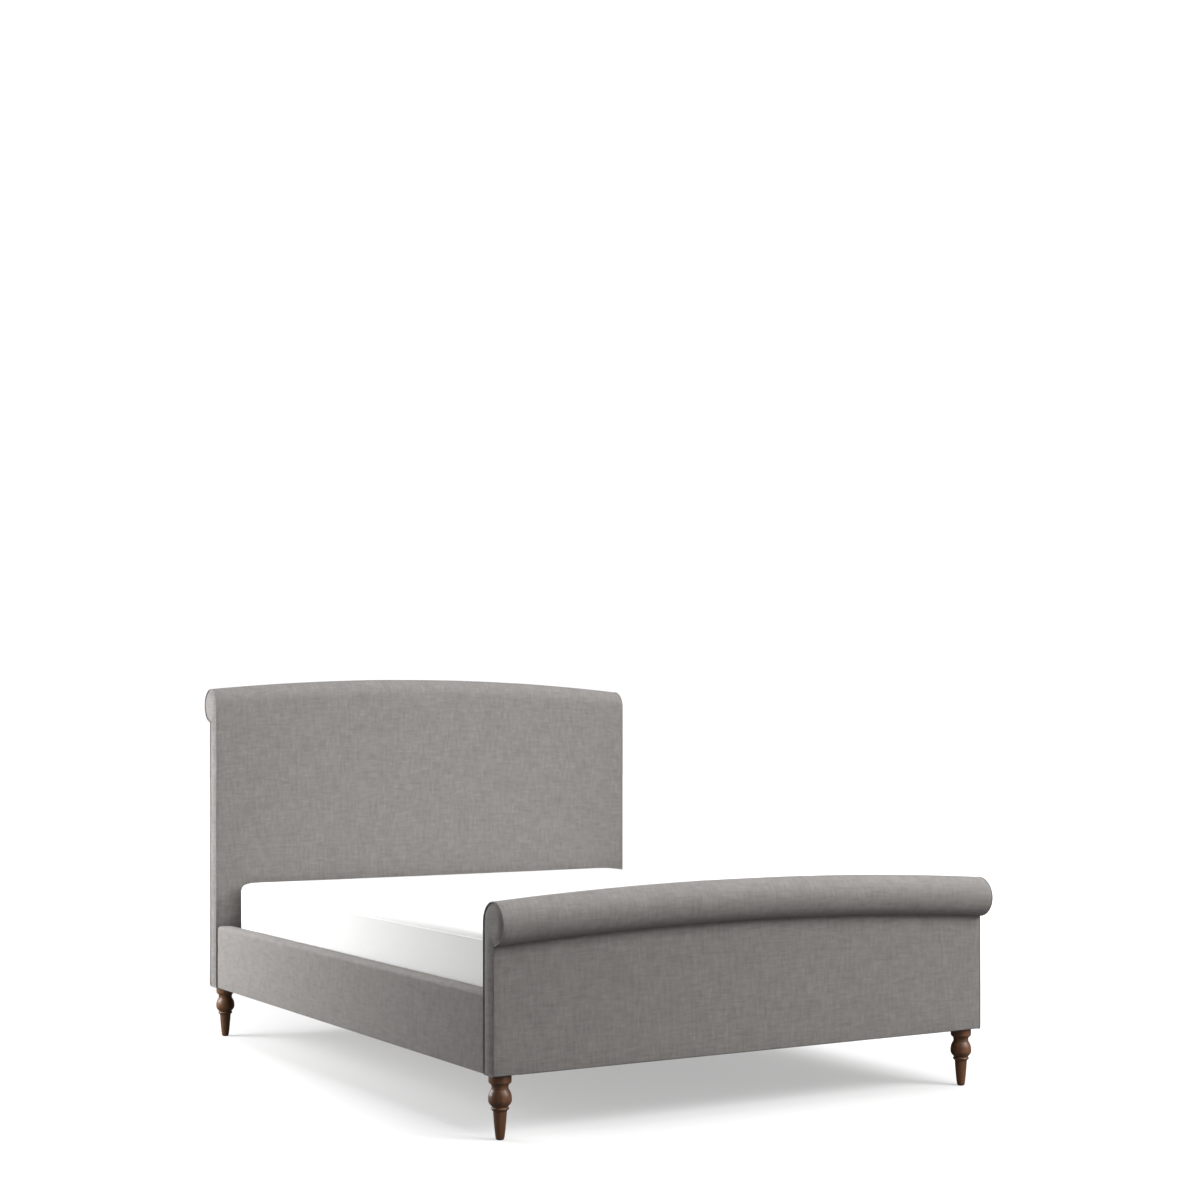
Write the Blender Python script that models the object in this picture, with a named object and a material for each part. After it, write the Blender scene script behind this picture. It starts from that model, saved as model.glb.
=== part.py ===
"""Upholstered sleigh bed: two scroll-topped panels, padded side rails, a slatted base on turned legs, and a mattress.

X runs across the bed, +Y points to the headboard and +Z is up. The origin is on the floor under the bed's centre.
All sizes are in metres. "Depth" is measured outward from the mattress side of a headboard or footboard panel, and
"inset" is measured inward from the outer face of a side rail.
"""

import math
from dataclasses import dataclass

import bmesh
import bpy
from mathutils import Matrix, Vector

GAP = 0.0003  # clearance between pieces that touch

# Mattress and the well that holds it
MATTRESS_WIDTH = 1.500
MATTRESS_LENGTH = 1.985
MATTRESS_HEIGHT = 0.235
MATTRESS_CORNER = 0.060
MATTRESS_EDGE = 0.025
WELL_HALF_LENGTH = 1.000
WELL_HALF_WIDTH = MATTRESS_WIDTH / 2 + 0.004

# Side rails
RAIL_THICKNESS = 0.050
RAIL_TOP = 0.379
RAIL_PAD = 0.013
RAIL_TOP_PAD = 0.010
RAIL_LINING = 0.0054
RAIL_ROUND = 0.012
BODY_HALF_WIDTH = WELL_HALF_WIDTH + RAIL_THICKNESS

# Scroll panels: the headboard and the footboard
PANEL_BOTTOM = 0.170
PANEL_THICKNESS = 0.060
COVER_THICKNESS = 0.008
FRAME_DEPTH = 0.042
FACE_BOARD_THICKNESS = 0.009
POST_WIDTH = 0.100
BOTTOM_RAIL_HEIGHT = 0.095
ROLL_RADIUS = 0.0575
ROLL_CLOSING_ANGLE = math.radians(-86)  # where the cover, having gone under the roll, meets the outer panel
CORE_RADIUS = ROLL_RADIUS - COVER_THICKNESS - GAP
CORE_DROP = -CORE_RADIUS * math.sin(ROLL_CLOSING_ANGLE)  # from the roll's centre to the core's flat underside
FACING_THICKNESS = 0.0057
FACING_MARGIN = 0.004
ARCH_STATIONS = 12
ROLL_STEPS = 18

# Slatted base
DECK_TOP = 0.275  # top of the bearers and the centre rail
BEARER_SIZE = 0.030
SLAT_COUNT = 12
SLAT_WIDTH = 0.095
SLAT_THICKNESS = 0.018
SLAT_CHAMFER = 0.003
CENTRE_RAIL_WIDTH = 0.040
CENTRE_RAIL_HEIGHT = 0.060
SADDLE_STEEL = 0.003
SADDLE_REACH = 0.045
SADDLE_EAR = 0.025
SADDLE_DROP = 0.018
SUPPORT_LEG_SIZE = 0.040
SUPPORT_LEG_BOTTOM = 0.030

# Knock-down fittings
BRACKET_STEEL = 0.004
BRACKET_ARM = 0.080
BRACKET_EAR = 0.055
BRACKET_BOTTOM = 0.182
BRACKET_TOP = 0.240
BOLT_RADIUS = 0.004
BOLT_HEAD_RADIUS = 0.0085
BOLT_HEAD_HEIGHT = 0.0055
BOLT_INSET = 0.076  # bolt axis, inward from the rail's outer face
BOLT_DEPTH = 0.034  # how far its tip reaches into the panel
HOLE_RADIUS = BOLT_RADIUS + GAP

# Turned legs and levelling feet
LEG_INSET = 0.037
LEG_DEPTH = 0.019
LEG_TOP = PANEL_BOTTOM - GAP
STUD_IN_LEG = 0.040
STUD_IN_POST = 0.045
LEG_SIDES = 20
LEVELLER_RADIUS = 0.019
LEVELLER_PAD = 0.008
LEVELLER_STEM_TOP = 0.062
ROUND_SIDES = 12

FABRIC = ("grey_linen", (0.203, 0.190, 0.180), 0.92, 0.0)
MATTRESS_TICKING = ("white_ticking", (0.880, 0.880, 0.870), 0.90, 0.0)
WALNUT = ("walnut_stain", (0.115, 0.052, 0.026), 0.45, 0.0)
PINE = ("pine", (0.610, 0.430, 0.250), 0.65, 0.0)
PLYWOOD = ("plywood", (0.520, 0.360, 0.210), 0.70, 0.0)
FOAM = ("foam", (0.800, 0.760, 0.640), 0.95, 0.0)
STEEL = ("zinc_plated_steel", (0.560, 0.570, 0.580), 0.35, 1.0)
BLACK_NYLON = ("black_nylon", (0.025, 0.025, 0.027), 0.50, 0.0)


@dataclass(frozen=True)
class ScrollPanel:
    """A headboard or footboard: which end it is, and how high and how arched its roll is."""

    name: str
    end: int
    roll_top: float
    crown: float

    def rise(self, x):
        """Height of the arch above its own ends, on a circular arc over the panel's width."""
        radius = (BODY_HALF_WIDTH**2 + self.crown**2) / (2 * self.crown)
        return math.sqrt(radius**2 - min(abs(x), BODY_HALF_WIDTH) ** 2) - (radius - self.crown)

    def y(self, depth):
        """World Y of a depth into the panel."""
        return self.end * (WELL_HALF_LENGTH + depth)

    @property
    def roll_centre(self):
        """Height of the roll's centre at the panel's ends."""
        return self.roll_top - ROLL_RADIUS


HEADBOARD = ScrollPanel("headboard", 1, 1.188, 0.039)
FOOTBOARD = ScrollPanel("footboard", -1, 0.618, 0.029)
SIDES = {"left": -1, "right": 1}


def clear_scene():
    """Remove whatever the file holds."""
    for item in list(bpy.data.objects):
        bpy.data.objects.remove(item, do_unlink=True)


def material_for(finish):
    """The Principled BSDF material of a finish, made the first time it is asked for."""
    name, colour, roughness, metallic = finish
    material = bpy.data.materials.get(name)
    if material is None:
        material = bpy.data.materials.new(name)
        material.use_nodes = True
        shader = material.node_tree.nodes["Principled BSDF"]
        shader.inputs["Base Color"].default_value = (*colour, 1.0)
        shader.inputs["Roughness"].default_value = roughness
        shader.inputs["Metallic"].default_value = metallic
    return material


def add_piece(name, bm, finish, location=(0, 0, 0), rotation=(0, 0, 0)):
    """Turn a bmesh into a named object with its own material, its faces pointing out."""
    bmesh.ops.recalc_face_normals(bm, faces=bm.faces[:])
    mesh = bpy.data.meshes.new(name)
    bm.to_mesh(mesh)
    bm.free()
    mesh.shade_smooth()
    mesh.set_sharp_from_angle(angle=math.radians(35))
    mesh.materials.append(material_for(finish))
    piece = bpy.data.objects.new(name, mesh)
    piece.location = location
    piece.rotation_euler = rotation
    bpy.context.scene.collection.objects.link(piece)
    return piece


def extrude_faces(bm, faces):
    """Extrude faces in place and drop the ones left inside the solid. Returns the new faces and corners."""
    region = set(faces)
    grows_from_solid = any(not region.issuperset(edge.link_faces) for face in faces for edge in face.edges)
    grown = bmesh.ops.extrude_face_region(bm, geom=faces)["geom"]
    if grows_from_solid:
        bmesh.ops.delete(bm, geom=faces, context="FACES")
    new_faces = [item for item in grown if isinstance(item, bmesh.types.BMFace)]
    new_verts = [item for item in grown if isinstance(item, bmesh.types.BMVert)]
    return new_faces, new_verts


def extrude_through(corners, stations, place):
    """Sweep a closed outline through stations; place(corner, station) gives each corner's point there."""
    bm = bmesh.new()
    ring = [bm.verts.new(place(corner, stations[0])) for corner in corners]
    cap = bm.faces.new(ring)
    for station in stations[1:]:
        starts = [vert.co.copy().freeze() for vert in ring]
        (cap,), grown = extrude_faces(bm, [cap])
        copies = {vert.co.copy().freeze(): vert for vert in grown}
        ring = [copies[start] for start in starts]
        for vert, corner in zip(ring, corners):
            vert.co = Vector(place(corner, station))
    return bm


def block(name, low, high, finish):
    """A rectangular piece between two opposite corners."""
    corners = [(low[0], low[1]), (high[0], low[1]), (high[0], high[1]), (low[0], high[1])]
    bm = extrude_through(corners, [low[2], high[2]], lambda corner, z: (*corner, z))
    return add_piece(name, bm, finish)


def turned(name, profile, sides, finish, location, rotation=(0, 0, 0)):
    """A round piece from (radius, height) points that start and end on the axis."""
    bm = bmesh.new()
    verts = [bm.verts.new((radius, 0.0, height)) for radius, height in profile]
    edges = [bm.edges.new(pair) for pair in zip(verts, verts[1:])]
    bmesh.ops.spin(
        bm,
        geom=verts + edges,
        cent=(0, 0, 0),
        axis=(0, 0, 1),
        angle=2 * math.pi,
        steps=sides,
        use_duplicate=False,
    )
    bmesh.ops.remove_doubles(bm, verts=bm.verts[:], dist=1e-5)
    return add_piece(name, bm, finish, location, rotation)


def drill(pieces, name, start, direction, length):
    """Cut one bolt hole through the pieces, from a start point along a direction."""
    bm = bmesh.new()
    bmesh.ops.create_cone(
        bm,
        cap_ends=True,
        segments=ROUND_SIDES,
        radius1=HOLE_RADIUS,
        radius2=HOLE_RADIUS,
        depth=length,
        matrix=Matrix.Translation((0, 0, length / 2)),
    )
    cutter = add_piece(name, bm, STEEL, start)
    cutter.rotation_euler = Vector(direction).to_track_quat("Z", "Y").to_euler()
    cutter.hide_render = True
    cutter.display_type = "WIRE"
    for piece in pieces:
        cut = piece.modifiers.new(name, "BOOLEAN")
        cut.operation = "DIFFERENCE"
        cut.solver = "EXACT"
        cut.object = cutter


def arc(centre, radius, start, end, steps):
    """Points on a circular arc, both ends included."""
    angles = [start + (end - start) * step / steps for step in range(steps + 1)]
    return [(centre[0] + radius * math.cos(a), centre[1] + radius * math.sin(a)) for a in angles]


def across(half_width):
    """Evenly spaced X stations over a panel."""
    return [half_width * (2 * n / ARCH_STATIONS - 1) for n in range(ARCH_STATIONS + 1)]


def arched_piece(panel, name, flat_corners, arched_corners, stations, finish):
    """Sweep a panel section along X. Corners are (depth, height), and the arched ones follow the arch."""
    corners = [(*corner, False) for corner in flat_corners] + [(*corner, True) for corner in arched_corners]

    def place(corner, x):
        depth, height, follows = corner
        return (x, panel.y(depth), height + panel.rise(x) * follows)

    return add_piece(name, extrude_through(corners, stations, place), finish)


def upright_slab(panel, name, depths, top, stations, finish):
    """A board standing on the panel's underside, between two depths, with an arched top edge."""
    near, far = depths
    foot = [(far, PANEL_BOTTOM), (near, PANEL_BOTTOM)]
    return arched_piece(panel, name, foot, [(near, top), (far, top)], stations, finish)


def make_roll(panel):
    """The shaped roll former and the padded cover that runs up the panel, over the roll and under it."""
    centre = (ROLL_RADIUS, panel.roll_centre)
    core = arc(centre, CORE_RADIUS, math.pi, ROLL_CLOSING_ANGLE, ROLL_STEPS)
    core.append((ROLL_RADIUS - CORE_RADIUS, panel.roll_centre - CORE_DROP))
    arched_piece(panel, f"{panel.name}_roll_core", [], core, across(BODY_HALF_WIDTH), FOAM)

    outside = arc(centre, ROLL_RADIUS, math.pi, ROLL_CLOSING_ANGLE, ROLL_STEPS)
    inside = arc(centre, ROLL_RADIUS - COVER_THICKNESS, ROLL_CLOSING_ANGLE, math.pi, ROLL_STEPS)
    hem = [(COVER_THICKNESS, PANEL_BOTTOM), (0.0, PANEL_BOTTOM)]
    cover_name = f"{panel.name}_cover"
    return arched_piece(panel, cover_name, hem, outside + inside, across(BODY_HALF_WIDTH), FABRIC)


def make_facings(panel):
    """The scroll-shaped end facings, one on each end of the panel."""
    radius = ROLL_RADIUS - FACING_MARGIN
    outer = PANEL_THICKNESS - FACING_MARGIN
    meeting_angle = -math.acos((outer - ROLL_RADIUS) / radius)
    outline = arc((ROLL_RADIUS, panel.roll_centre), radius, math.pi, meeting_angle, ROLL_STEPS)
    outline.append((outer, PANEL_BOTTOM + FACING_MARGIN))
    outline.append((FACING_MARGIN, PANEL_BOTTOM + FACING_MARGIN))
    for side_name, side in SIDES.items():
        near = side * (BODY_HALF_WIDTH + GAP)
        stations = [near, near + side * FACING_THICKNESS]
        name = f"{panel.name}_end_facing_{side_name}"
        bm = extrude_through(outline, stations, lambda corner, x: (x, panel.y(corner[0]), corner[1]))
        add_piece(name, bm, FABRIC)


def make_panel(panel):
    """One complete headboard or footboard. Returns its cover and its posts, which the bolts go through."""
    frame_near = COVER_THICKNESS + GAP
    frame_far = frame_near + FRAME_DEPTH
    board_far = frame_near + FACE_BOARD_THICKNESS
    frame_top = panel.roll_centre - CORE_DROP - GAP
    inner_half = BODY_HALF_WIDTH - POST_WIDTH

    cover = make_roll(panel)
    make_facings(panel)
    posts = {}
    for side_name, side in SIDES.items():
        stations = [side * inner_half, side * BODY_HALF_WIDTH]
        name = f"{panel.name}_post_{side_name}"
        posts[side_name] = upright_slab(panel, name, (frame_near, frame_far), frame_top, stations, PINE)

    between_posts = across(inner_half - GAP)
    board_depths = (frame_near, board_far)
    upright_slab(panel, f"{panel.name}_face_board", board_depths, frame_top, between_posts, PLYWOOD)
    outer_depths = (frame_far + GAP, PANEL_THICKNESS)
    outer_name = f"{panel.name}_outer_panel"
    upright_slab(panel, outer_name, outer_depths, frame_top - GAP, across(BODY_HALF_WIDTH), FABRIC)

    rail_y = sorted((panel.y(board_far + GAP), panel.y(frame_far)))
    low = (GAP - inner_half, rail_y[0], PANEL_BOTTOM)
    high = (inner_half - GAP, rail_y[1], PANEL_BOTTOM + BOTTOM_RAIL_HEIGHT)
    block(f"{panel.name}_bottom_rail", low, high, PINE)
    return cover, posts


def make_side_rail(side_name, side):
    """A side rail: its board, its padded cover and the bearer that the slats rest on."""
    length = WELL_HALF_LENGTH - GAP
    board_inset = (RAIL_PAD + GAP, RAIL_THICKNESS - RAIL_LINING - GAP)
    inner_face = RAIL_THICKNESS - RAIL_LINING

    def place(corner, y):
        return (side * (BODY_HALF_WIDTH - corner[0]), y, corner[1])

    small_round = RAIL_LINING * 0.7
    cover = [(0.0, PANEL_BOTTOM)]
    cover += arc((RAIL_ROUND, RAIL_TOP - RAIL_ROUND), RAIL_ROUND, math.pi, math.pi / 2, 4)
    cover += arc((RAIL_THICKNESS - small_round, RAIL_TOP - small_round), small_round, math.pi / 2, 0, 3)
    lining_bottom = DECK_TOP + SLAT_THICKNESS + 0.005
    cover += [(RAIL_THICKNESS, lining_bottom), (inner_face, lining_bottom)]
    cover += [(inner_face, RAIL_TOP - RAIL_TOP_PAD), (RAIL_PAD, RAIL_TOP - RAIL_TOP_PAD)]
    cover.append((RAIL_PAD, PANEL_BOTTOM))
    add_piece(f"side_rail_{side_name}_cover", extrude_through(cover, [-length, length], place), FABRIC)

    def board(name, insets, heights, finish):
        xs = sorted(side * (BODY_HALF_WIDTH - inset) for inset in insets)
        block(name, (xs[0], -length, heights[0]), (xs[1], length, heights[1]), finish)

    board_top = RAIL_TOP - RAIL_TOP_PAD - GAP
    board(f"side_rail_{side_name}_board", board_inset, (PANEL_BOTTOM, board_top), PINE)
    bearer_inset = (inner_face, inner_face + BEARER_SIZE)
    board(f"slat_bearer_{side_name}", bearer_inset, (DECK_TOP - BEARER_SIZE, DECK_TOP), PINE)


def make_corner_fitting(panel, side_name, side, cover, post):
    """The steel corner bracket that hooks a side rail to a panel, and its bed bolt."""
    corner_x = BODY_HALF_WIDTH - RAIL_THICKNESS + RAIL_LINING
    face = -GAP
    outline = [
        (corner_x, face),
        (corner_x, face - BRACKET_ARM),
        (corner_x - BRACKET_STEEL, face - BRACKET_ARM),
        (corner_x - BRACKET_STEEL, face - BRACKET_STEEL),
        (corner_x - BRACKET_EAR, face - BRACKET_STEEL),
        (corner_x - BRACKET_EAR, face),
    ]
    bm = extrude_through(
        outline,
        [BRACKET_BOTTOM, BRACKET_TOP],
        lambda corner, z: (side * corner[0], panel.y(corner[1]), z),
    )
    place = f"{panel.name}_{side_name}"
    bracket = add_piece(f"corner_bracket_{place}", bm, STEEL)

    bolt_x = side * (BODY_HALF_WIDTH - BOLT_INSET)
    bolt_z = (BRACKET_BOTTOM + BRACKET_TOP) / 2
    head_depth = face - BRACKET_STEEL - GAP
    shank = BOLT_DEPTH - head_depth
    profile = [
        (0.0, -BOLT_HEAD_HEIGHT),
        (BOLT_HEAD_RADIUS * 0.8, -BOLT_HEAD_HEIGHT),
        (BOLT_HEAD_RADIUS, -BOLT_HEAD_HEIGHT * 0.6),
        (BOLT_HEAD_RADIUS, 0.0),
        (BOLT_RADIUS, 0.0),
        (BOLT_RADIUS, shank),
        (0.0, shank),
    ]
    turn = (-panel.end * math.pi / 2, 0, 0)
    location = (bolt_x, panel.y(head_depth), bolt_z)
    turned(f"bed_bolt_{place}", profile, ROUND_SIDES, STEEL, location, turn)

    hole_start = (bolt_x, panel.y(head_depth - BRACKET_STEEL), bolt_z)
    hole_length = shank + BRACKET_STEEL + GAP
    drill([bracket, cover, post], f"bolt_hole_{place}", hole_start, (0, panel.end, 0), hole_length)


def leg_profile():
    """Half section of a turned leg, from its bore, over the collar, neck, bulb and taper, down to the floor."""
    bore_bottom = LEG_TOP - STUD_IN_LEG - GAP
    profile = [(0.0, bore_bottom), (HOLE_RADIUS, bore_bottom), (HOLE_RADIUS, LEG_TOP)]
    profile += [(0.0290, LEG_TOP), (0.0305, 0.1670), (0.0305, 0.1500), (0.0285, 0.1470)]
    profile += [(0.0235, 0.1440), (0.0215, 0.1370), (0.0225, 0.1300)]
    profile += [(0.0265, 0.1220), (0.0295, 0.1130), (0.0305, 0.1030), (0.0290, 0.0940), (0.0250, 0.0890)]
    profile += [(0.0235, 0.0820), (0.0195, 0.0780), (0.0180, 0.0700), (0.0165, 0.0500)]
    profile += [(0.0135, 0.0200), (0.0120, 0.0030), (0.0110, 0.0), (0.0, 0.0)]
    return profile


def make_leg(panel, side_name, side, post):
    """A turned leg and the threaded stud that holds it to the panel's post."""
    x = side * (BODY_HALF_WIDTH - LEG_INSET)
    y = panel.y(LEG_DEPTH)
    place = f"{panel.name}_{side_name}"
    turned(f"leg_{place}", leg_profile(), LEG_SIDES, WALNUT, (x, y, 0.0))

    low = -STUD_IN_LEG
    stud = [(0.0, low), (BOLT_RADIUS, low), (BOLT_RADIUS, STUD_IN_POST), (0.0, STUD_IN_POST)]
    turned(f"leg_stud_{place}", stud, ROUND_SIDES, STEEL, (x, y, LEG_TOP))
    drill([post], f"stud_hole_{place}", (x, y, LEG_TOP - STUD_IN_LEG), (0, 0, 1), STUD_IN_LEG + STUD_IN_POST + GAP)


def make_slats():
    """The slats, evenly spaced along the well, each resting on both bearers and the centre rail."""
    pitch = 2 * WELL_HALF_LENGTH / SLAT_COUNT
    half = SLAT_WIDTH / 2
    low = DECK_TOP + GAP
    high = low + SLAT_THICKNESS
    cut = SLAT_CHAMFER
    outline = [(-half + cut, low), (half - cut, low), (half, low + cut), (half, high - cut)]
    outline += [(half - cut, high), (-half + cut, high), (-half, high - cut), (-half, low + cut)]
    for n in range(SLAT_COUNT):
        middle = (n + 0.5) * pitch - WELL_HALF_LENGTH
        stations = [-MATTRESS_WIDTH / 2, MATTRESS_WIDTH / 2]
        bm = extrude_through(outline, stations, lambda corner, x: (x, middle + corner[0], corner[1]))
        add_piece(f"slat_{n + 1:02d}", bm, PINE)


def make_saddle(panel):
    """The steel saddle screwed to a panel that carries one end of the centre rail in a U-shaped tray."""
    half = CENTRE_RAIL_WIDTH / 2 + GAP
    floor = DECK_TOP - CENTRE_RAIL_HEIGHT - GAP
    xs = [-half - SADDLE_EAR, -half - SADDLE_STEEL, -half, half, half + SADDLE_STEEL, half + SADDLE_EAR]
    zs = [floor - SADDLE_DROP, floor - SADDLE_STEEL, floor, DECK_TOP - GAP]
    bm = bmesh.new()
    grid = [[bm.verts.new((x, panel.y(-GAP), z)) for x in xs] for z in zs]
    for low_row, high_row in zip(grid, grid[1:]):
        for n in range(len(xs) - 1):
            bm.faces.new((low_row[n], low_row[n + 1], high_row[n + 1], high_row[n]))

    def push_out(faces, distance):
        new_faces, new_verts = extrude_faces(bm, faces)
        bmesh.ops.translate(bm, verts=new_verts, vec=(0, -panel.end * distance, 0))
        return new_faces

    def in_tray(face):
        middle = face.calc_center_median()
        wall = half < abs(middle.x) < half + SADDLE_STEEL and middle.z > floor - SADDLE_STEEL
        base = abs(middle.x) < half and floor - SADDLE_STEEL < middle.z < floor
        return wall or base

    plate = push_out(bm.faces[:], SADDLE_STEEL)
    push_out([face for face in plate if in_tray(face)], SADDLE_REACH)
    add_piece(f"centre_rail_saddle_{panel.name}", bm, STEEL)


def make_centre_support():
    """The centre rail in its two saddles, its support leg and the leg's screw-in levelling foot."""
    half = CENTRE_RAIL_WIDTH / 2
    reach = WELL_HALF_LENGTH - SADDLE_STEEL - 2 * GAP
    rail_bottom = DECK_TOP - CENTRE_RAIL_HEIGHT
    block("centre_rail", (-half, -reach, rail_bottom), (half, reach, DECK_TOP), PINE)
    for panel in (HEADBOARD, FOOTBOARD):
        make_saddle(panel)

    half = SUPPORT_LEG_SIZE / 2
    leg = block("support_leg", (-half, -half, SUPPORT_LEG_BOTTOM), (half, half, rail_bottom - GAP), PINE)
    foot = [(0.0, 0.0), (LEVELLER_RADIUS, 0.0), (LEVELLER_RADIUS, LEVELLER_PAD * 0.6)]
    foot += [(LEVELLER_RADIUS * 0.8, LEVELLER_PAD), (BOLT_RADIUS, LEVELLER_PAD)]
    foot += [(BOLT_RADIUS, LEVELLER_STEM_TOP), (0.0, LEVELLER_STEM_TOP)]
    turned("levelling_foot", foot, ROUND_SIDES, BLACK_NYLON, (0, 0, 0))
    drill([leg], "levelling_hole", (0, 0, 0), (0, 0, 1), LEVELLER_STEM_TOP + LEVELLER_RADIUS)


def make_mattress():
    """The mattress: rounded upright corners and softened top and bottom edges."""
    half_width = MATTRESS_WIDTH / 2 - MATTRESS_CORNER
    half_length = MATTRESS_LENGTH / 2 - MATTRESS_CORNER
    outline = []
    for quarter, (sx, sy) in enumerate(((1, 1), (-1, 1), (-1, -1), (1, -1))):
        start = quarter * math.pi / 2
        outline += arc((sx * half_width, sy * half_length), MATTRESS_CORNER, start, start + math.pi / 2, 5)
    bm = extrude_through(outline, [0.0, MATTRESS_HEIGHT], lambda corner, z: (*corner, z))
    rims = [edge for edge in bm.edges if abs(edge.verts[0].co.z - edge.verts[1].co.z) < GAP]
    bmesh.ops.bevel(bm, geom=rims, offset=MATTRESS_EDGE, segments=3, profile=0.5, affect="EDGES")
    add_piece("mattress", bm, MATTRESS_TICKING, (0, 0, DECK_TOP + SLAT_THICKNESS + 2 * GAP))


def main():
    """Build the whole bed."""
    clear_scene()
    for panel in (HEADBOARD, FOOTBOARD):
        cover, posts = make_panel(panel)
        for side_name, side in SIDES.items():
            make_corner_fitting(panel, side_name, side, cover, posts[side_name])
            make_leg(panel, side_name, side, posts[side_name])
    for side_name, side in SIDES.items():
        make_side_rail(side_name, side)
    make_slats()
    make_centre_support()
    make_mattress()


main()
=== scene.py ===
"""Sleigh bed: finished upholstery, turned legs, mattress and studio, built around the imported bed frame.

X runs across the bed, +Y points to the headboard and +Z is up. Sizes are in metres. "Depth" is measured
outward from the mattress side of a headboard or footboard panel.
"""

import logging
import math
from collections.abc import Callable, Iterator, Mapping
from contextlib import contextmanager
from dataclasses import dataclass
from enum import Enum
from typing import Any, ClassVar

import bmesh
import bpy
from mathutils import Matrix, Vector


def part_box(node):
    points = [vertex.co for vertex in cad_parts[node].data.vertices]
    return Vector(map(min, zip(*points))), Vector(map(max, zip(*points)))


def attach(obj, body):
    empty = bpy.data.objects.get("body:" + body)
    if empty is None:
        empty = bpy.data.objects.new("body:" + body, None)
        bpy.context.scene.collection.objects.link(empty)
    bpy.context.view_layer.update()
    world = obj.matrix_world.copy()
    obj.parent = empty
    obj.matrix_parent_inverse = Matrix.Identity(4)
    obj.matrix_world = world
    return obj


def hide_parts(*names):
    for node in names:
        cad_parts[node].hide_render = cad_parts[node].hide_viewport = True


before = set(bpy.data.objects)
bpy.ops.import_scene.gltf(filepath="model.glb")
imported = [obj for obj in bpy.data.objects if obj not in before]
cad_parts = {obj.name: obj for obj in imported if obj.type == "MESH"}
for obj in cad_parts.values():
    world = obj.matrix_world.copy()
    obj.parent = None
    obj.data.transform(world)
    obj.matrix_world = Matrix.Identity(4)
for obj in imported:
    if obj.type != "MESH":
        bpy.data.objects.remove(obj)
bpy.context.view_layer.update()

logging.basicConfig(level=logging.INFO, format="%(message)s")
log = logging.getLogger("sleigh_bed")

Colour = tuple[float, float, float]
Triple = tuple[float, float, float]
Test = Callable[[Vector, Vector], bool]
Socket = bpy.types.NodeSocket
Object = bpy.types.Object
Values = Mapping[str | int, Any]

TINY = 1e-5
HAIR = 1e-7
FRAME_BODY = "bedstead"
WEAVE_MAP = "weave"
SMOOTH_ANGLE = math.radians(40)


class Named(Enum):
    """An option whose name is also a word in the names of pieces or finishes."""

    @property
    def word(self) -> str:
        """The option as a word."""
        return self.name.lower()


class End(Named):
    """The two scroll panels; the value is the way each one's roll turns along Y."""

    HEADBOARD = 1
    FOOTBOARD = -1


class Side(Named):
    """The two sides of the bed; the value is the way each one faces along X."""

    LEFT = -1
    RIGHT = 1


class Part(Enum):
    """What a select test looks at."""

    CORNER = "VERT"
    EDGE = "EDGE"
    FACE = "FACE"


class Grain(Named):
    """Which way a board's grain runs; the value is how much a pattern is stretched along X, Y and Z."""

    ACROSS = (0.06, 1.0, 1.0)
    ALONG = (1.0, 0.06, 1.0)
    UPRIGHT = (1.0, 1.0, 0.06)


class Slot(Enum):
    """The record's material slots, as names that finishes carry."""

    FABRIC = "upholstery_fabric"
    TICKING = "mattress_ticking"
    LEG_WOOD = "leg_wood"
    STEEL = "fitting_steel"
    NYLON = "black_nylon"


def clear_bench() -> None:
    """Leave edit mode and deselect every object, so that the next tool acts on nothing by accident."""
    if bpy.context.object is not None and bpy.context.object.mode != "OBJECT":
        bpy.ops.object.mode_set(mode="OBJECT")
    bpy.ops.object.select_all(action="DESELECT")


def box_weave(place: Vector, normal: Vector) -> tuple[float, float]:
    """Lay cloth flat on whichever side of a box a face looks at.

    Args:
        place: A corner of the face.
        normal: The way the face looks.

    Returns:
        The cloth's own coordinates there, in metres.
    """
    across, along, up = (abs(part) for part in normal)
    if up >= across and up >= along:
        return place.x, place.y
    if across >= along:
        return place.y, place.z
    return place.x, place.z


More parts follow.
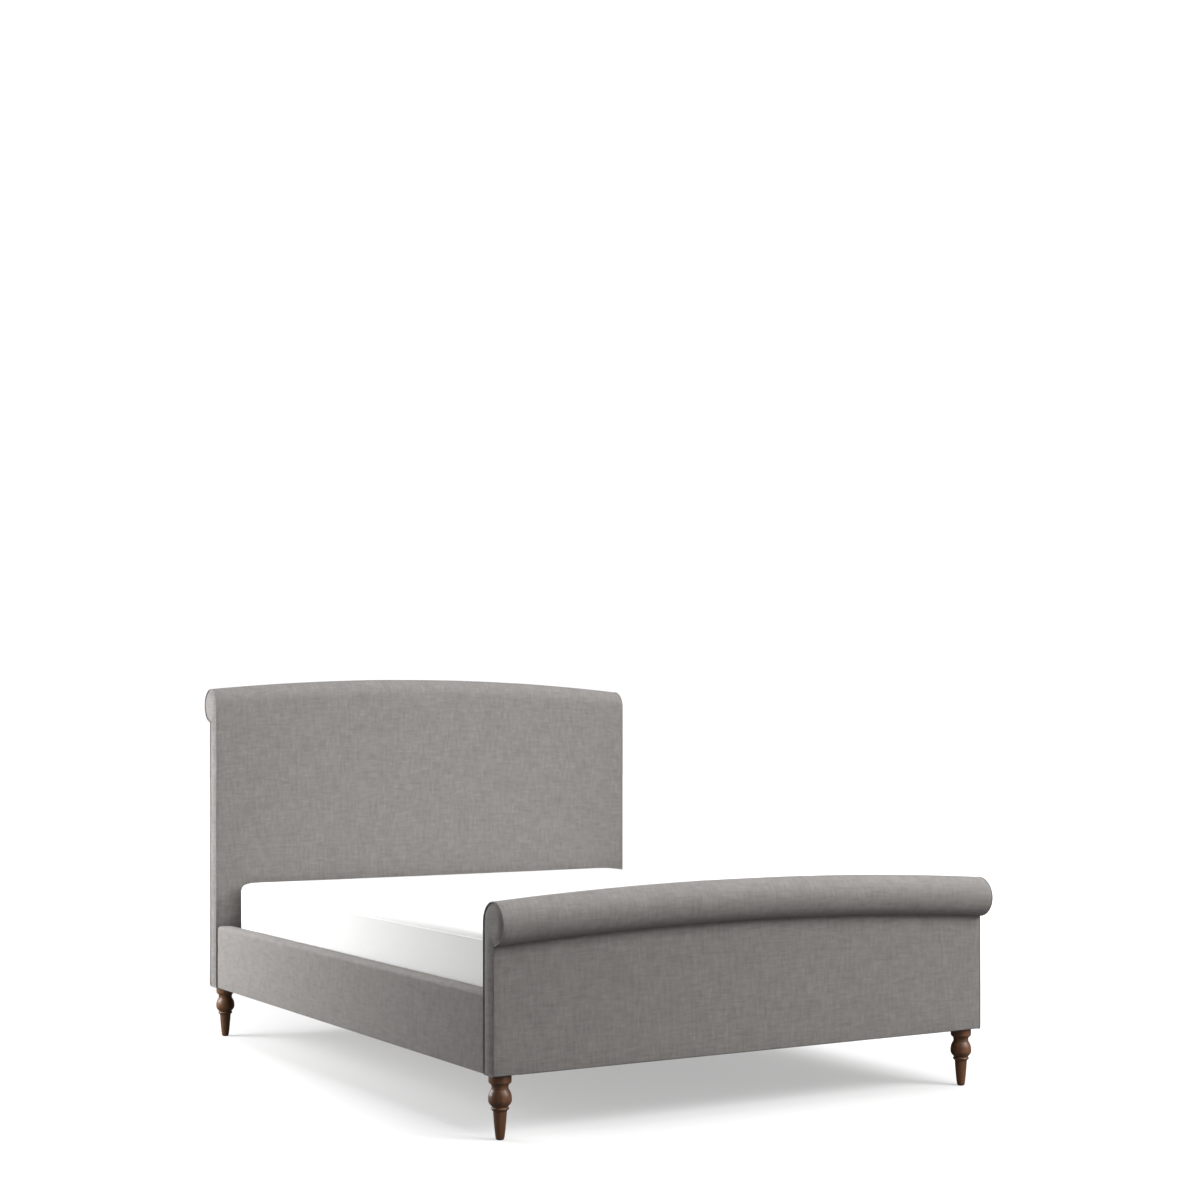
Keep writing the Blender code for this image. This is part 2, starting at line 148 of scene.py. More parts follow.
class Workpiece:
    """One mesh on the bench, shaped with edit tools and then handed over as a finished piece."""

    def __init__(self, item: Object) -> None:
        """Take up an object.

        Args:
            item: A mesh object.
        """
        self.item = item

    @classmethod
    def primitive(cls, kind: str, extent: Triple, centre: Vector, **settings: Any) -> "Workpiece":
        """Start from one of Blender's primitives, one unit big, brought to its size and place.

        Args:
            kind: The primitive's name, such as "grid" or "circle".
            extent: How much it is stretched along X, Y and Z, after any rotation.
            centre: Where its middle goes.
            **settings: The primitive's own settings.

        Returns:
            The workpiece, with its place in its mesh.
        """
        clear_bench()
        if kind != "circle":
            settings["size"] = 1.0
        getattr(bpy.ops.mesh, f"primitive_{kind}_add")(**settings)
        item = bpy.context.object
        bpy.ops.object.transform_apply(location=True, rotation=True, scale=True)
        item.scale = extent
        bpy.ops.object.transform_apply(location=False, rotation=False, scale=True)
        item.location = centre
        bpy.ops.object.transform_apply(location=True, rotation=False, scale=False)
        return cls(item)

    @classmethod
    def turned(cls, centre: Vector, stations: list[tuple[float, float]], sides: int) -> "Workpiece":
        """Build a round, upright piece station by station, as on a lathe.

        Args:
            centre: A point on its axis; heights count from there.
            stations: The (radius, height) points from the bottom up.
            sides: How many sides its rings have.

        Returns:
            The closed workpiece.
        """
        radius, height = stations[0]
        start = centre + Vector((0.0, 0.0, height))
        ring = {"vertices": sides, "radius": radius, "fill_type": "NGON"}
        piece = cls.primitive("circle", (1.0, 1.0, 1.0), start, **ring)
        with piece.edit():
            bpy.ops.mesh.select_mode(type="FACE")
            piece.take_all()
            for next_radius, next_height in stations[1:]:
                piece.extrude((0.0, 0.0, next_height - height))
                ratio = next_radius / radius
                middle = (centre.x, centre.y, centre.z + next_height)
                bpy.ops.transform.resize(value=(ratio, ratio, 1.0), center_override=middle)
                radius, height = next_radius, next_height
        piece.close_up()
        return piece

    def pick_up(self) -> None:
        """Make this the only selected object, and the active one."""
        clear_bench()
        self.item.select_set(True)
        bpy.context.view_layer.objects.active = self.item

    @contextmanager
    def edit(self) -> Iterator[None]:
        """Hold the piece in edit mode for the tools inside the with block."""
        self.pick_up()
        bpy.ops.object.mode_set(mode="EDIT")
        try:
            yield
        finally:
            bpy.ops.object.mode_set(mode="OBJECT")

    def select(self, part: Part, test: Test) -> None:
        """Select the corners, edges or faces that pass a test, in edit mode.

        Args:
            part: What is looked at.
            test: Takes a place and a direction: a corner's normal, an edge's run or a face's normal.
        """
        bpy.ops.mesh.select_mode(type=part.value)
        bpy.ops.mesh.select_all(action="DESELECT")
        mesh = bmesh.from_edit_mesh(self.item.data)
        mesh.normal_update()
        if part is Part.CORNER:
            chosen = [corner for corner in mesh.verts if test(corner.co, corner.normal)]
        elif part is Part.EDGE:
            chosen = [edge for edge in mesh.edges if test(*self._run_of(edge))]
        else:
            chosen = [face for face in mesh.faces if test(face.calc_center_median(), face.normal)]
        for element in chosen:
            element.select_set(True)
        mesh.select_flush_mode()
        bmesh.update_edit_mesh(self.item.data)

    @staticmethod
    def _run_of(edge: bmesh.types.BMEdge) -> tuple[Vector, Vector]:
        """An edge's middle and the way it runs."""
        start, end = (corner.co for corner in edge.verts)
        return (start + end) / 2, (end - start).normalized()

    @staticmethod
    def take_all() -> None:
        """Select the whole mesh, in edit mode."""
        bpy.ops.mesh.select_all(action="SELECT")

    def extrude(self, move: Triple) -> None:
        """Extrude what is selected, along a move."""
        bpy.ops.mesh.extrude_region_move(TRANSFORM_OT_translate={"value": move})

    def slice(self, places: list[Vector], normal: Triple) -> None:
        """Cut new edge loops across the whole piece, in edit mode.

        Args:
            places: A point on each cut.
            normal: The way the cuts face.
        """
        for place in places:
            self.take_all()
            bpy.ops.mesh.bisect(plane_co=tuple(place), plane_no=normal)

    def modify(self, kind: str, **settings: Any) -> None:
        """Add a modifier and apply it at once.

        Args:
            kind: The modifier's type.
            **settings: Its settings.
        """
        self.pick_up()
        modifier = self.item.modifiers.new(kind.title(), kind)
        for name, value in settings.items():
            setattr(modifier, name, value)
        bpy.ops.object.modifier_apply(modifier=modifier.name)

    def weigh(self, group: str, share: Callable[[Vector], float]) -> None:
        """Give each corner a weight, for a modifier to read.

        Args:
            group: The name of the weights.
            share: A corner's weight by its place, from 0 to 1.
        """
        weights = self.item.vertex_groups.new(name=group)
        for corner in self.item.data.vertices:
            weights.add([corner.index], max(0.0, min(1.0, share(corner.co))), "REPLACE")

    def lay_weave(self, lay: Callable[[Vector, Vector], tuple[float, float]]) -> None:
        """Give the piece a cloth map in metres, so that threads follow its surface.

        Args:
            lay: Takes a corner's place and its face's normal, and gives the cloth's own coordinates.
        """
        mesh = self.item.data
        weave = mesh.uv_layers.get(WEAVE_MAP) or mesh.uv_layers.new(name=WEAVE_MAP)
        for face in mesh.polygons:
            for loop in face.loop_indices:
                place = mesh.vertices[mesh.loops[loop].vertex_index].co
                weave.data[loop].uv = lay(place, face.normal)

    def close_up(self, merge: float = TINY) -> None:
        """Merge doubled corners and turn every face outward.

        Args:
            merge: How near two corners are before they become one.
        """
        with self.edit():
            self.take_all()
            bpy.ops.mesh.remove_doubles(threshold=merge)
            bpy.ops.mesh.normals_make_consistent(inside=False)

    def face_out(self, outward: Callable[[Vector], Vector]) -> None:
        """Turn an open sheet over if its faces look the wrong way.

        Args:
            outward: The way the sheet should look at a place.
        """
        agreement = sum(face.normal.dot(outward(face.center)) * face.area for face in self.item.data.polygons)
        if agreement < 0:
            with self.edit():
                self.take_all()
                bpy.ops.mesh.flip_normals()

    def soften(self, depth: float, patch: float) -> None:
        """Let the surface wander a little, as stuffing under cloth does.

        Args:
            depth: How far it moves, from the lowest to the highest point.
            patch: The size of a hollow or a swelling.
        """
        padding = bpy.data.textures.new("padding", "CLOUDS")
        padding.noise_scale = patch
        self.modify("DISPLACE", texture=padding, texture_coords="LOCAL", strength=depth, mid_level=0.5)

    def cord(self, radius: float) -> "Workpiece":
        """The round cord that follows the piece's edges.

        Args:
            radius: Half the cord's thickness.

        Returns:
            The cord, in place of the piece.
        """
        self.pick_up()
        bpy.ops.object.convert(target="CURVE")
        path = bpy.context.object.data
        path.bevel_depth = radius
        path.bevel_resolution = 3
        bpy.ops.object.convert(target="MESH")
        return Workpiece(bpy.context.object)

    def join(self, *others: "Workpiece") -> None:
        """Take other workpieces into this one."""
        self.pick_up()
        for other in others:
            other.item.select_set(True)
        bpy.ops.object.join()

    def turn_about(self, angle: float, axis: str, centre: Vector) -> None:
        """Turn the whole piece about an axis through a point.

        Args:
            angle: How far, in radians, by the right-hand rule.
            axis: "X", "Y" or "Z".
            centre: A point on the axis.
        """
        with self.edit():
            self.take_all()
            bpy.ops.transform.rotate(value=-angle, orient_axis=axis, center_override=tuple(centre))

    def thicken(self, thickness: float, **settings: Any) -> None:
        """Give an open sheet its thickness, inward from the face that shows."""
        self.modify("SOLIDIFY", thickness=thickness, offset=-1.0, **settings)

    def round_edges(self, width: float, sharper_than: float) -> None:
        """Round every edge that turns by more than an angle, given in degrees."""
        angle = math.radians(sharper_than)
        self.modify("BEVEL", width=width, segments=4, limit_method="ANGLE", angle_limit=angle)

    def raise_by(self, group: str, height: float, direction: str = "Z") -> None:
        """Move each corner by its weight's share of a height."""
        self.modify("DISPLACE", direction=direction, strength=height, mid_level=0.0, vertex_group=group)

    def hand_over(self, name: str, finish: "Finish", body: str = FRAME_BODY, replaces: str = "") -> Object:
        """Finish the piece: name it, shade it, give it its material and say what it moves with.

        Args:
            name: The piece's name.
            finish: What it is made of.
            body: The frame's body that it rides on.
            replaces: The frame's node that it stands for, if there is one.

        Returns:
            The finished object.
        """
        self.pick_up()
        bpy.ops.object.shade_smooth_by_angle(angle=SMOOTH_ANGLE, keep_sharp_edges=False)
        self.item.name = name
        self.item.data.name = name
        self.item.data.materials.clear()
        self.item.data.materials.append(finish.material())
        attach(self.item, body)
        if replaces:
            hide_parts(replaces)
        return self.item


class Wiring:
    """A node tree being wired: it adds nodes, sets their values and links their sockets."""

    def __init__(self, tree: bpy.types.NodeTree) -> None:
        """Take up a node tree.

        Args:
            tree: A material's, world's or group's tree.
        """
        self.tree = tree

    def link(self, start: Socket, end: Socket) -> None:
        """Link an output to an input."""
        self.tree.links.new(start, end)

    def add(self, kind: str, values: Values | None = None, **settings: Any) -> bpy.types.Node:
        """Add a node.

        Args:
            kind: The node's type.
            values: What goes into its input sockets: another node's output, or a plain value.
            **settings: The node's own settings.

        Returns:
            The node.
        """
        node = self.tree.nodes.new(kind)
        for name, value in settings.items():
            setattr(node, name, value)
        for name, value in (values or {}).items():
            if isinstance(value, bpy.types.NodeSocket):
                self.link(value, node.inputs[name])
            else:
                node.inputs[name].default_value = value
        return node

    def calc(self, operation: str, *values: Socket | float) -> Socket:
        """The result of a Math node's operation on some values."""
        return self.add("ShaderNodeMath", dict(enumerate(values)), operation=operation).outputs[0]

    def remap(self, value: Socket, low: float, high: float, to_low: float, to_high: float) -> Socket:
        """A value brought from one range to another, held inside it."""
        ranges = {"Value": value, "From Min": low, "From Max": high, "To Min": to_low, "To Max": to_high}
        return self.add("ShaderNodeMapRange", ranges).outputs[0]

    def blend(self, share: Socket, first: Socket | Colour, second: Colour) -> Socket:
        """Two colours mixed by a share, from 0, the first, to 1, the second."""
        if isinstance(first, tuple):
            first = (*first, 1.0)
        return self.add("ShaderNodeMix", {0: share, 6: first, 7: (*second, 1.0)}, data_type="RGBA").outputs[2]

    def noise(
        self, vector: Socket, scale: Socket | float, detail: float = 2.0, roughness: float = 0.5
    ) -> Socket:
        """A noise pattern's value."""
        values = {"Vector": vector, "Scale": scale, "Detail": detail, "Roughness": roughness}
        return self.add("ShaderNodeTexNoise", values).outputs["Fac"]

    def stretched(self, vector: Socket, stretch: Triple) -> Socket:
        """Coordinates stretched along each axis."""
        return self.add("ShaderNodeMapping", {"Vector": vector, "Scale": stretch}).outputs[0]

    def bump(self, height: Socket, distance: float) -> Socket:
        """A normal from a height pattern, whose 1 is a distance in metres."""
        values = {"Height": height, "Distance": distance, "Strength": 1.0}
        return self.add("ShaderNodeBump", values).outputs[0]


@dataclass(frozen=True)
class Effect:
    """A shader node group that several materials share: it takes coordinates, and gives values."""

    name: str
    gives: tuple[str, ...]
    wire: Callable[[Wiring, Any, Any], None]
    takes: tuple[str, ...] = ()

    def group(self) -> bpy.types.NodeTree:
        """The node group, made the first time it is asked for.

        Returns:
            The group, with a Vector input before its other inputs.
        """
        if self.name in bpy.data.node_groups:
            return bpy.data.node_groups[self.name]
        tree = bpy.data.node_groups.new(self.name, "ShaderNodeTree")
        tree.interface.new_socket("Vector", in_out="INPUT", socket_type="NodeSocketVector")
        for way, sockets in (("INPUT", self.takes), ("OUTPUT", self.gives)):
            for socket in sockets:
                tree.interface.new_socket(socket, in_out=way, socket_type="NodeSocketFloat")
        wiring = Wiring(tree)
        start = wiring.add("NodeGroupInput").outputs
        self.wire(wiring, start, wiring.add("NodeGroupOutput").inputs)
        return tree

    def use(self, wiring: Wiring, vector: Socket, **values: float) -> Any:
        """The outputs of a copy of the group in a material, fed with coordinates and plain values."""
        return wiring.add("ShaderNodeGroup", {"Vector": vector, **values}, node_tree=self.group()).outputs


def wire_weave(wiring: Wiring, given: Any, result: Any) -> None:
    """A plain weave: threads that pass over and under each other.

    Args:
        wiring: The group's node tree.
        given: Cloth coordinates in metres, and the thread's pitch.
        result: The threads' height.
    """
    calc = wiring.calc
    wander = wiring.noise(given["Vector"], 160.0, 1.0)
    wobble = wiring.remap(wander, 0.3, 0.7, -0.22, 0.22)
    split = wiring.add("ShaderNodeSeparateXYZ", {"Vector": given["Vector"]}).outputs
    heights = []
    counts = [calc("ADD", calc("DIVIDE", split[axis], given["Pitch"]), wobble) for axis in (0, 1)]
    for own, other, phase in ((counts[0], counts[1], 0.0), (counts[1], counts[0], 1.0)):
        across = calc("SUBTRACT", calc("MULTIPLY", calc("FRACT", own), 2.0), 1.0)
        roundness = calc("SUBTRACT", 1.0, calc("MULTIPLY", across, across))
        turn = calc("MULTIPLY", calc("ADD", calc("ADD", other, calc("FLOOR", own)), phase), math.pi)
        crossing = calc("MULTIPLY_ADD", calc("COSINE", turn), 0.5, 0.5)
        heights.append(calc("MULTIPLY", roundness, crossing))
    wiring.link(calc("MAXIMUM", *heights), result["Height"])


def wire_slubs(wiring: Wiring, given: Any, result: Any) -> None:
    """Slubs: the thick and thin stretches of linen yarn, both ways of the cloth, and its uneven dyeing.

    Args:
        wiring: The group's node tree.
        given: Cloth coordinates in metres.
        result: The yarn's shade and broad patches, each around one half.
    """
    calc = wiring.calc
    strands = []
    for width, length in ((250.0, 24.0), (90.0, 20.0)):
        for stretch in ((width, length, 1.0), (length, width, 1.0)):
            strands.append(wiring.noise(wiring.stretched(given["Vector"], stretch), 1.0, 2.0))
    total = calc("ADD", calc("ADD", strands[0], strands[1]), calc("ADD", strands[2], strands[3]))
    wiring.link(calc("MULTIPLY", total, 0.25), result["Shade"])
    wiring.link(wiring.noise(given["Vector"], 14.0, 3.0, 0.6), result["Patches"])


def wire_grain(wiring: Wiring, given: Any, result: Any) -> None:
    """Wood grain: broad figure, fine fibres and open pores.

    Args:
        wiring: The group's node tree.
        given: Coordinates that are already drawn out along the grain.
        result: The figure's shade, and the height of the fibres and pores.
    """
    calc = wiring.calc
    drift = wiring.noise(given["Vector"], 9.0, 2.0)
    rings = calc("SINE", calc("MULTIPLY", drift, 60.0))
    figure = wiring.remap(rings, -1.0, 1.0, 0.25, 0.75)
    fibres = wiring.noise(given["Vector"], 420.0, 3.0, 0.6)
    pores = wiring.remap(wiring.noise(given["Vector"], 900.0, 1.0), 0.30, 0.42, 0.0, 1.0)
    shade = calc("MULTIPLY_ADD", fibres, 0.5, calc("MULTIPLY", figure, 0.6))
    wiring.link(calc("MULTIPLY", shade, calc("MULTIPLY_ADD", pores, 0.25, 0.75)), result["Shade"])
    wiring.link(calc("MULTIPLY_ADD", fibres, 0.5, calc("MULTIPLY", pores, 0.5)), result["Height"])


def wire_wear(wiring: Wiring, given: Any, result: Any) -> None:
    """Painted edge highlight mask: where a finely meshed piece is sharply convex, broken up by noise.

    Args:
        wiring: The group's node tree.
        given: Object coordinates.
        result: A mask from 0 to 1.
    """
    sharpness = wiring.add("ShaderNodeNewGeometry").outputs["Pointiness"]
    convex = wiring.remap(sharpness, 0.52, 0.60, 0.0, 1.0)
    patches = wiring.remap(wiring.noise(given["Vector"], 140.0, 3.0), 0.35, 0.65, 0.2, 1.0)
    wiring.link(wiring.calc("MULTIPLY", convex, patches), result["Mask"])


def wire_surface(wiring: Wiring, given: Any, result: Any) -> None:
    """The fine surface of plating, moulding or foam: soft clouds, and small pits.

    Args:
        wiring: The group's node tree.
        given: Object coordinates, and the clouds' scale.
        result: The clouds and the pits, each around one half.
    """
    pit_scale = wiring.calc("MULTIPLY", given["Scale"], 14.0)
    wiring.link(wiring.noise(given["Vector"], given["Scale"], 4.0, 0.6), result["Clouds"])
    wiring.link(wiring.noise(given["Vector"], pit_scale, 2.0), result["Pits"])


WEAVE = Effect("plain weave", ("Height",), wire_weave, ("Pitch",))
SLUBS = Effect("linen slubs", ("Shade", "Patches"), wire_slubs)
GRAIN = Effect("wood grain", ("Shade", "Height"), wire_grain)
EDGE_HIGHLIGHT = Effect("rubbed edges", ("Mask",), wire_wear)
SURFACE = Effect("fine surface", ("Clouds", "Pits"), wire_surface, ("Scale",))


class Finish:
    """What every finish shares: a named material, made once, and a slot name."""

    name: str
    slot: Slot | None

    def material(self) -> bpy.types.Material:
        """The finish's material, made the first time it is asked for."""
        made = bpy.data.materials.get(self.name)
        if made is None:
            made = bpy.data.materials.new(self.name)
            made.use_nodes = True
            shader = made.node_tree.nodes["Principled BSDF"]
            self.dress(Wiring(made.node_tree), shader.inputs)
        return made

    def dress(self, wiring: Wiring, shader: Any) -> None:
        """Set and wire the shader's sockets.

        Args:
            wiring: The material's node tree.
            shader: The Principled shader's inputs.
        """
        raise NotImplementedError

    @staticmethod
    def settle(shader: Any, values: Mapping[str, Any]) -> None:
        """Set plain values on the shader's own sockets."""
        for name, value in values.items():
            shader[name].default_value = value


@dataclass(frozen=True)
class Cloth(Finish):
    """A woven cloth, read from the piece's own map in metres."""

    name: str
    light: Colour
    dark: Colour
    thread: float
    relief: float
    slub_contrast: float
    mottle: float
    roughness: float
    sheen: float
    slot: Slot | None = None

    def dress(self, wiring: Wiring, shader: Any) -> None:
        """Colour the threads and their slubs, paint shade where the weave lies low between them, and raise
        the weave.
        """
        weave_map = wiring.add("ShaderNodeUVMap", uv_map=WEAVE_MAP).outputs[0]
        height = WEAVE.use(wiring, weave_map, Pitch=self.thread)["Height"]
        slubs = SLUBS.use(wiring, weave_map)
        spread = self.slub_contrast
        yarn = wiring.remap(slubs["Shade"], 0.30, 0.70, 0.5 - spread, 0.5 + spread)
        cloth = wiring.calc("MULTIPLY_ADD", wiring.calc("SUBTRACT", slubs["Patches"], 0.5), self.mottle, yarn)
        colour = wiring.blend(cloth, self.dark, self.light)
        # Painted shade: the colour is darkened down to 0.55 times where the weave lies low, between the
        # threads.
        gap_shade = wiring.remap(height, 0.0, 0.45, 0.55, 1.0)
        shaded = wiring.add("ShaderNodeVectorMath", {0: colour}, operation="SCALE")
        wiring.link(gap_shade, shaded.inputs["Scale"])
        wiring.link(shaded.outputs[0], shader["Base Color"])
        uneven = wiring.calc("MULTIPLY_ADD", slubs["Shade"], 0.6, height)
        wiring.link(wiring.bump(uneven, self.relief), shader["Normal"])
        self.settle(shader, {"Roughness": self.roughness, "Specular IOR Level": 0.25})
        self.settle(shader, {"Sheen Weight": self.sheen, "Sheen Roughness": 0.45})


@dataclass(frozen=True)
class Timber(Finish):
    """A planed or turned wood, with its grain along one axis."""

    name: str
    light: Colour
    dark: Colour
    grain: Grain
    roughness: float
    relief: float
    lacquer: float = 0.0
    wear: float = 0.0
    worn: Colour | None = None
    slot: Slot | None = None

    def dress(self, wiring: Wiring, shader: Any) -> None:
        """Colour the figure and the fibres, and paint a lighter highlight along the sharp edges of a finely
        meshed piece.
        """
        place = wiring.add("ShaderNodeTexCoord").outputs["Object"]
        drawn_out = wiring.stretched(place, self.grain.value)
        grain = GRAIN.use(wiring, drawn_out)
        colour = wiring.blend(grain["Shade"], self.dark, self.light)
        # Painted highlight: sharply convex edges are blended towards a lighter, warmer colour by the mask.
        if self.worn:
            share = wiring.calc("MULTIPLY", EDGE_HIGHLIGHT.use(wiring, place)["Mask"], self.wear)
            colour = wiring.blend(share, colour, self.worn)
        wiring.link(colour, shader["Base Color"])
        spread = wiring.remap(grain["Height"], 0.0, 1.0, self.roughness + 0.10, self.roughness - 0.05)
        wiring.link(spread, shader["Roughness"])
        wiring.link(wiring.bump(grain["Height"], self.relief), shader["Normal"])
        self.settle(shader, {"Coat Weight": self.lacquer, "Coat Roughness": 0.30, "Specular IOR Level": 0.35})


@dataclass(frozen=True)
class Hardware(Finish):
    """A metal, a moulding or a foam, with a fine surface texture."""

    name: str
    light: Colour
    dark: Colour
    metallic: float
    roughness: float
    relief: float
    texture: float
    slot: Slot | None = None

    def dress(self, wiring: Wiring, shader: Any) -> None:
        """Vary the colour and the gloss from place to place."""
        place = wiring.add("ShaderNodeTexCoord").outputs["Object"]
        surface = SURFACE.use(wiring, place, Scale=self.texture)
        colour = wiring.blend(wiring.remap(surface["Clouds"], 0.3, 0.7, 0.0, 1.0), self.dark, self.light)
        wiring.link(colour, shader["Base Color"])
        gloss = wiring.remap(surface["Clouds"], 0.3, 0.7, self.roughness - 0.07, self.roughness + 0.09)
        wiring.link(gloss, shader["Roughness"])
        wiring.link(wiring.bump(surface["Pits"], self.relief), shader["Normal"])
        self.settle(shader, {"Metallic": self.metallic})


LINEN = Cloth(
    name="grey_linen_weave", light=(0.286, 0.270, 0.257), dark=(0.184, 0.172, 0.165), thread=0.0011,
    relief=0.00045, slub_contrast=0.62, mottle=0.50, roughness=0.92, sheen=0.12, slot=Slot.FABRIC,
)
TICKING = Cloth(
    name="white_mattress_ticking", light=(0.852, 0.852, 0.846), dark=(0.788, 0.788, 0.783), thread=0.0009,
    relief=0.00018, slub_contrast=0.10, mottle=0.20, roughness=0.88, sheen=0.10, slot=Slot.TICKING,
)
WEBBING = Cloth(
    name="cream_slat_webbing", light=(0.780, 0.740, 0.640), dark=(0.560, 0.520, 0.430), thread=0.0016,
    relief=0.0005, slub_contrast=0.10, mottle=0.15, roughness=0.85, sheen=0.05,
)
WALNUT = Timber(
    name="stained_walnut", light=(0.188, 0.081, 0.034), dark=(0.030, 0.012, 0.006),
    worn=(0.300, 0.150, 0.074), grain=Grain.UPRIGHT, roughness=0.44, relief=0.00012, lacquer=0.16,
    wear=0.30, slot=Slot.LEG_WOOD,
)
PLY = Timber(
    name="birch_plywood", light=(0.640, 0.480, 0.300), dark=(0.430, 0.290, 0.160),
    grain=Grain.ACROSS, roughness=0.62, relief=0.0002,
)
ZINC = Hardware(
    name="zinc_plated_steel", light=(0.620, 0.635, 0.655), dark=(0.420, 0.430, 0.450), metallic=1.0,
    roughness=0.36, relief=0.00005, texture=60.0, slot=Slot.STEEL,
)
NYLON = Hardware(
    name="black_moulded_nylon", light=(0.034, 0.034, 0.036), dark=(0.018, 0.018, 0.020), metallic=0.0,
    roughness=0.48, relief=0.0001, texture=180.0, slot=Slot.NYLON,
)
FOAM = Hardware(
    name="cut_foam", light=(0.830, 0.780, 0.640), dark=(0.700, 0.640, 0.500), metallic=0.0, roughness=0.90,
    relief=0.0009, texture=90.0,
)


def pine(grain: Grain) -> Timber:
    """Sawn and planed pine, with its grain along one axis."""
    return Timber(
        name=f"planed_pine_{grain.word}", light=(0.720, 0.520, 0.310), dark=(0.500, 0.310, 0.150),
        grain=grain, roughness=0.58, relief=0.00025,
    )


@dataclass
class ScrollPanel:
    """A headboard's or footboard's upholstery: cover over the roll, flat outer panel, scroll-shaped ends."""

    end: End
    columns: int = 72
    roll_steps: int = 36
    closing_angle: float = math.radians(266)
    cover_thickness: float = 0.008
    cover_edge: float = 0.0026
    panel_edge: float = 0.0028
    stuffing: float = 0.0016
    patch: float = 0.28
    row: float = 0.045
    hem_lift: float = 0.0006
    facing_margin: float = 0.0040
    facing_tuck: float = 0.0036
    facing_wall: float = 0.0026
    facing_crown: float = 0.0082
    facing_reach: float = 0.0250
    crown_steps: int = 9
    seam_gap: float = 0.0002
    welt_radius: float = 0.0024
    welt_corner: float = 0.004

    def __post_init__(self) -> None:
        """Read the panel's sizes from the frame."""
        low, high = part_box(f"{self.end.word}_cover")
        facing_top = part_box(f"{self.end.word}_end_facing_left")[1].z
        panel_low, panel_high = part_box(f"{self.end.word}_outer_panel")
        cad_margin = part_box(f"{self.end.word}_end_facing_left")[0].z - low.z
        self.half_width = high.x
        self.bottom = low.z
        self.radius = (high.y - low.y) / 2
        self.roll_top = facing_top + cad_margin
        self.crown = high.z - self.roll_top
        self.face_y = low.y if self.end is End.HEADBOARD else high.y
        self.outer_depth = max(self.depth(panel_low.y), self.depth(panel_high.y))
        self.panel_thickness = panel_high.y - panel_low.y
        self.panel_top = panel_high.z - self.crown
        self.roll_height = self.roll_top - self.radius

    def y(self, depth: float) -> float:
        """World Y of a depth into the panel."""
        return self.face_y + self.end.value * depth

    def depth(self, y: float) -> float:
        """Depth into the panel of a world Y."""
        return (y - self.face_y) * self.end.value

    def rise(self, x: float) -> float:
        """Height of the arch above its own ends: a circular arc over the panel's width."""
        arc = (self.half_width**2 + self.crown**2) / (2 * self.crown)
        return math.sqrt(arc**2 - min(abs(x), self.half_width) ** 2) - (arc - self.crown)

    def share_of_arch(self, place: Vector) -> float:
        """How far a point of the cover follows the arch, and by how much the arch rises there."""
        on_face = self.depth(place.y) < self.outer_depth and place.z < self.roll_height
        up_the_face = (place.z - self.bottom) / (self.roll_height - self.bottom)
        flat_part = self.depth(place.y) < self.radius / 2
        follows = up_the_face if on_face and flat_part else 1.0
        return follows * self.rise(place.x) / self.crown

    def around(self, place: Vector, _normal: Vector) -> tuple[float, float]:
        """Cloth coordinates on the cover: across the bed, and up the face and round the roll."""
        depth = self.depth(place.y)
        if depth < self.radius / 2 and place.z <= self.roll_height:
            return place.x, place.z
        angle = math.atan2(place.z - self.roll_height, self.radius - depth)
        angle = angle if angle >= -TINY else angle + 2 * math.pi
        return place.x, self.roll_height + self.radius * angle

    def arch(self, piece: Workpiece, share: Callable[[Vector], float]) -> None:
        """Lift a piece that was made straight into the panel's arch."""
        piece.weigh("arch", share)
        piece.raise_by("arch", self.crown)

    def upright_sheet(self, depth: float, bottom: float, top: float, rows: int) -> Workpiece:
        """A flat sheet across the panel, standing at one depth."""
        size = (2 * self.half_width, 1.0, top - bottom)
        centre = Vector((0.0, self.y(depth), (top + bottom) / 2))
        cuts = {"x_subdivisions": self.columns, "y_subdivisions": rows}
        return Workpiece.primitive("grid", size, centre, rotation=(math.pi / 2, 0.0, 0.0), **cuts)

    def build_cover(self) -> None:
        """Make the padded cover, up the mattress side, over the roll and under it."""
        rows = max(8, round((self.roll_height - self.bottom) / self.row))
        piece = self.upright_sheet(0.0, self.bottom, self.roll_height, rows)
        with piece.edit():
            piece.select(Part.EDGE, lambda place, run: place.z > self.roll_height - TINY)
            bpy.ops.mesh.spin(
                steps=self.roll_steps,
                angle=self.closing_angle * self.end.value,
                center=(0.0, self.y(self.radius), self.roll_height),
                axis=(1.0, 0.0, 0.0),
            )
        piece.close_up()
        piece.face_out(self.away_from_roll)
        piece.lay_weave(self.around)
        self.arch(piece, self.share_of_arch)
        piece.soften(self.stuffing, self.patch)
        piece.thicken(self.cover_thickness, use_even_offset=True)
        piece.round_edges(self.cover_edge, 50)
        name = f"{self.end.word}_cover"
        piece.hand_over(f"{name}_padded", LINEN, replaces=name)

    def away_from_roll(self, place: Vector) -> Vector:
        """The way the cover looks at a place: away from the panel, or from the roll's axis."""
        if place.z < self.roll_height - TINY and self.depth(place.y) < self.radius / 2:
            return Vector((0.0, -self.end.value, 0.0))
        centre = Vector((place.x, self.y(self.radius), self.roll_height + self.rise(place.x)))
        return place - centre

    def build_outer_panel(self) -> None:
        """Make the flat padded panel that closes the side away from the mattress."""
        height = self.panel_top - self.bottom
        rows = max(6, round(height / self.row))
        piece = self.upright_sheet(self.outer_depth, self.bottom, self.panel_top, rows)
        piece.face_out(lambda place: Vector((0.0, self.end.value, 0.0)))
        piece.lay_weave(box_weave)
        self.arch(piece, lambda place: (place.z - self.bottom) / height * self.rise(place.x) / self.crown)
        piece.soften(self.stuffing, self.patch)
        piece.thicken(self.panel_thickness, use_even_offset=True)
        piece.round_edges(self.panel_edge, 50)
        name = f"{self.end.word}_outer_panel"
        piece.hand_over(f"{name}_padded", LINEN, replaces=name)

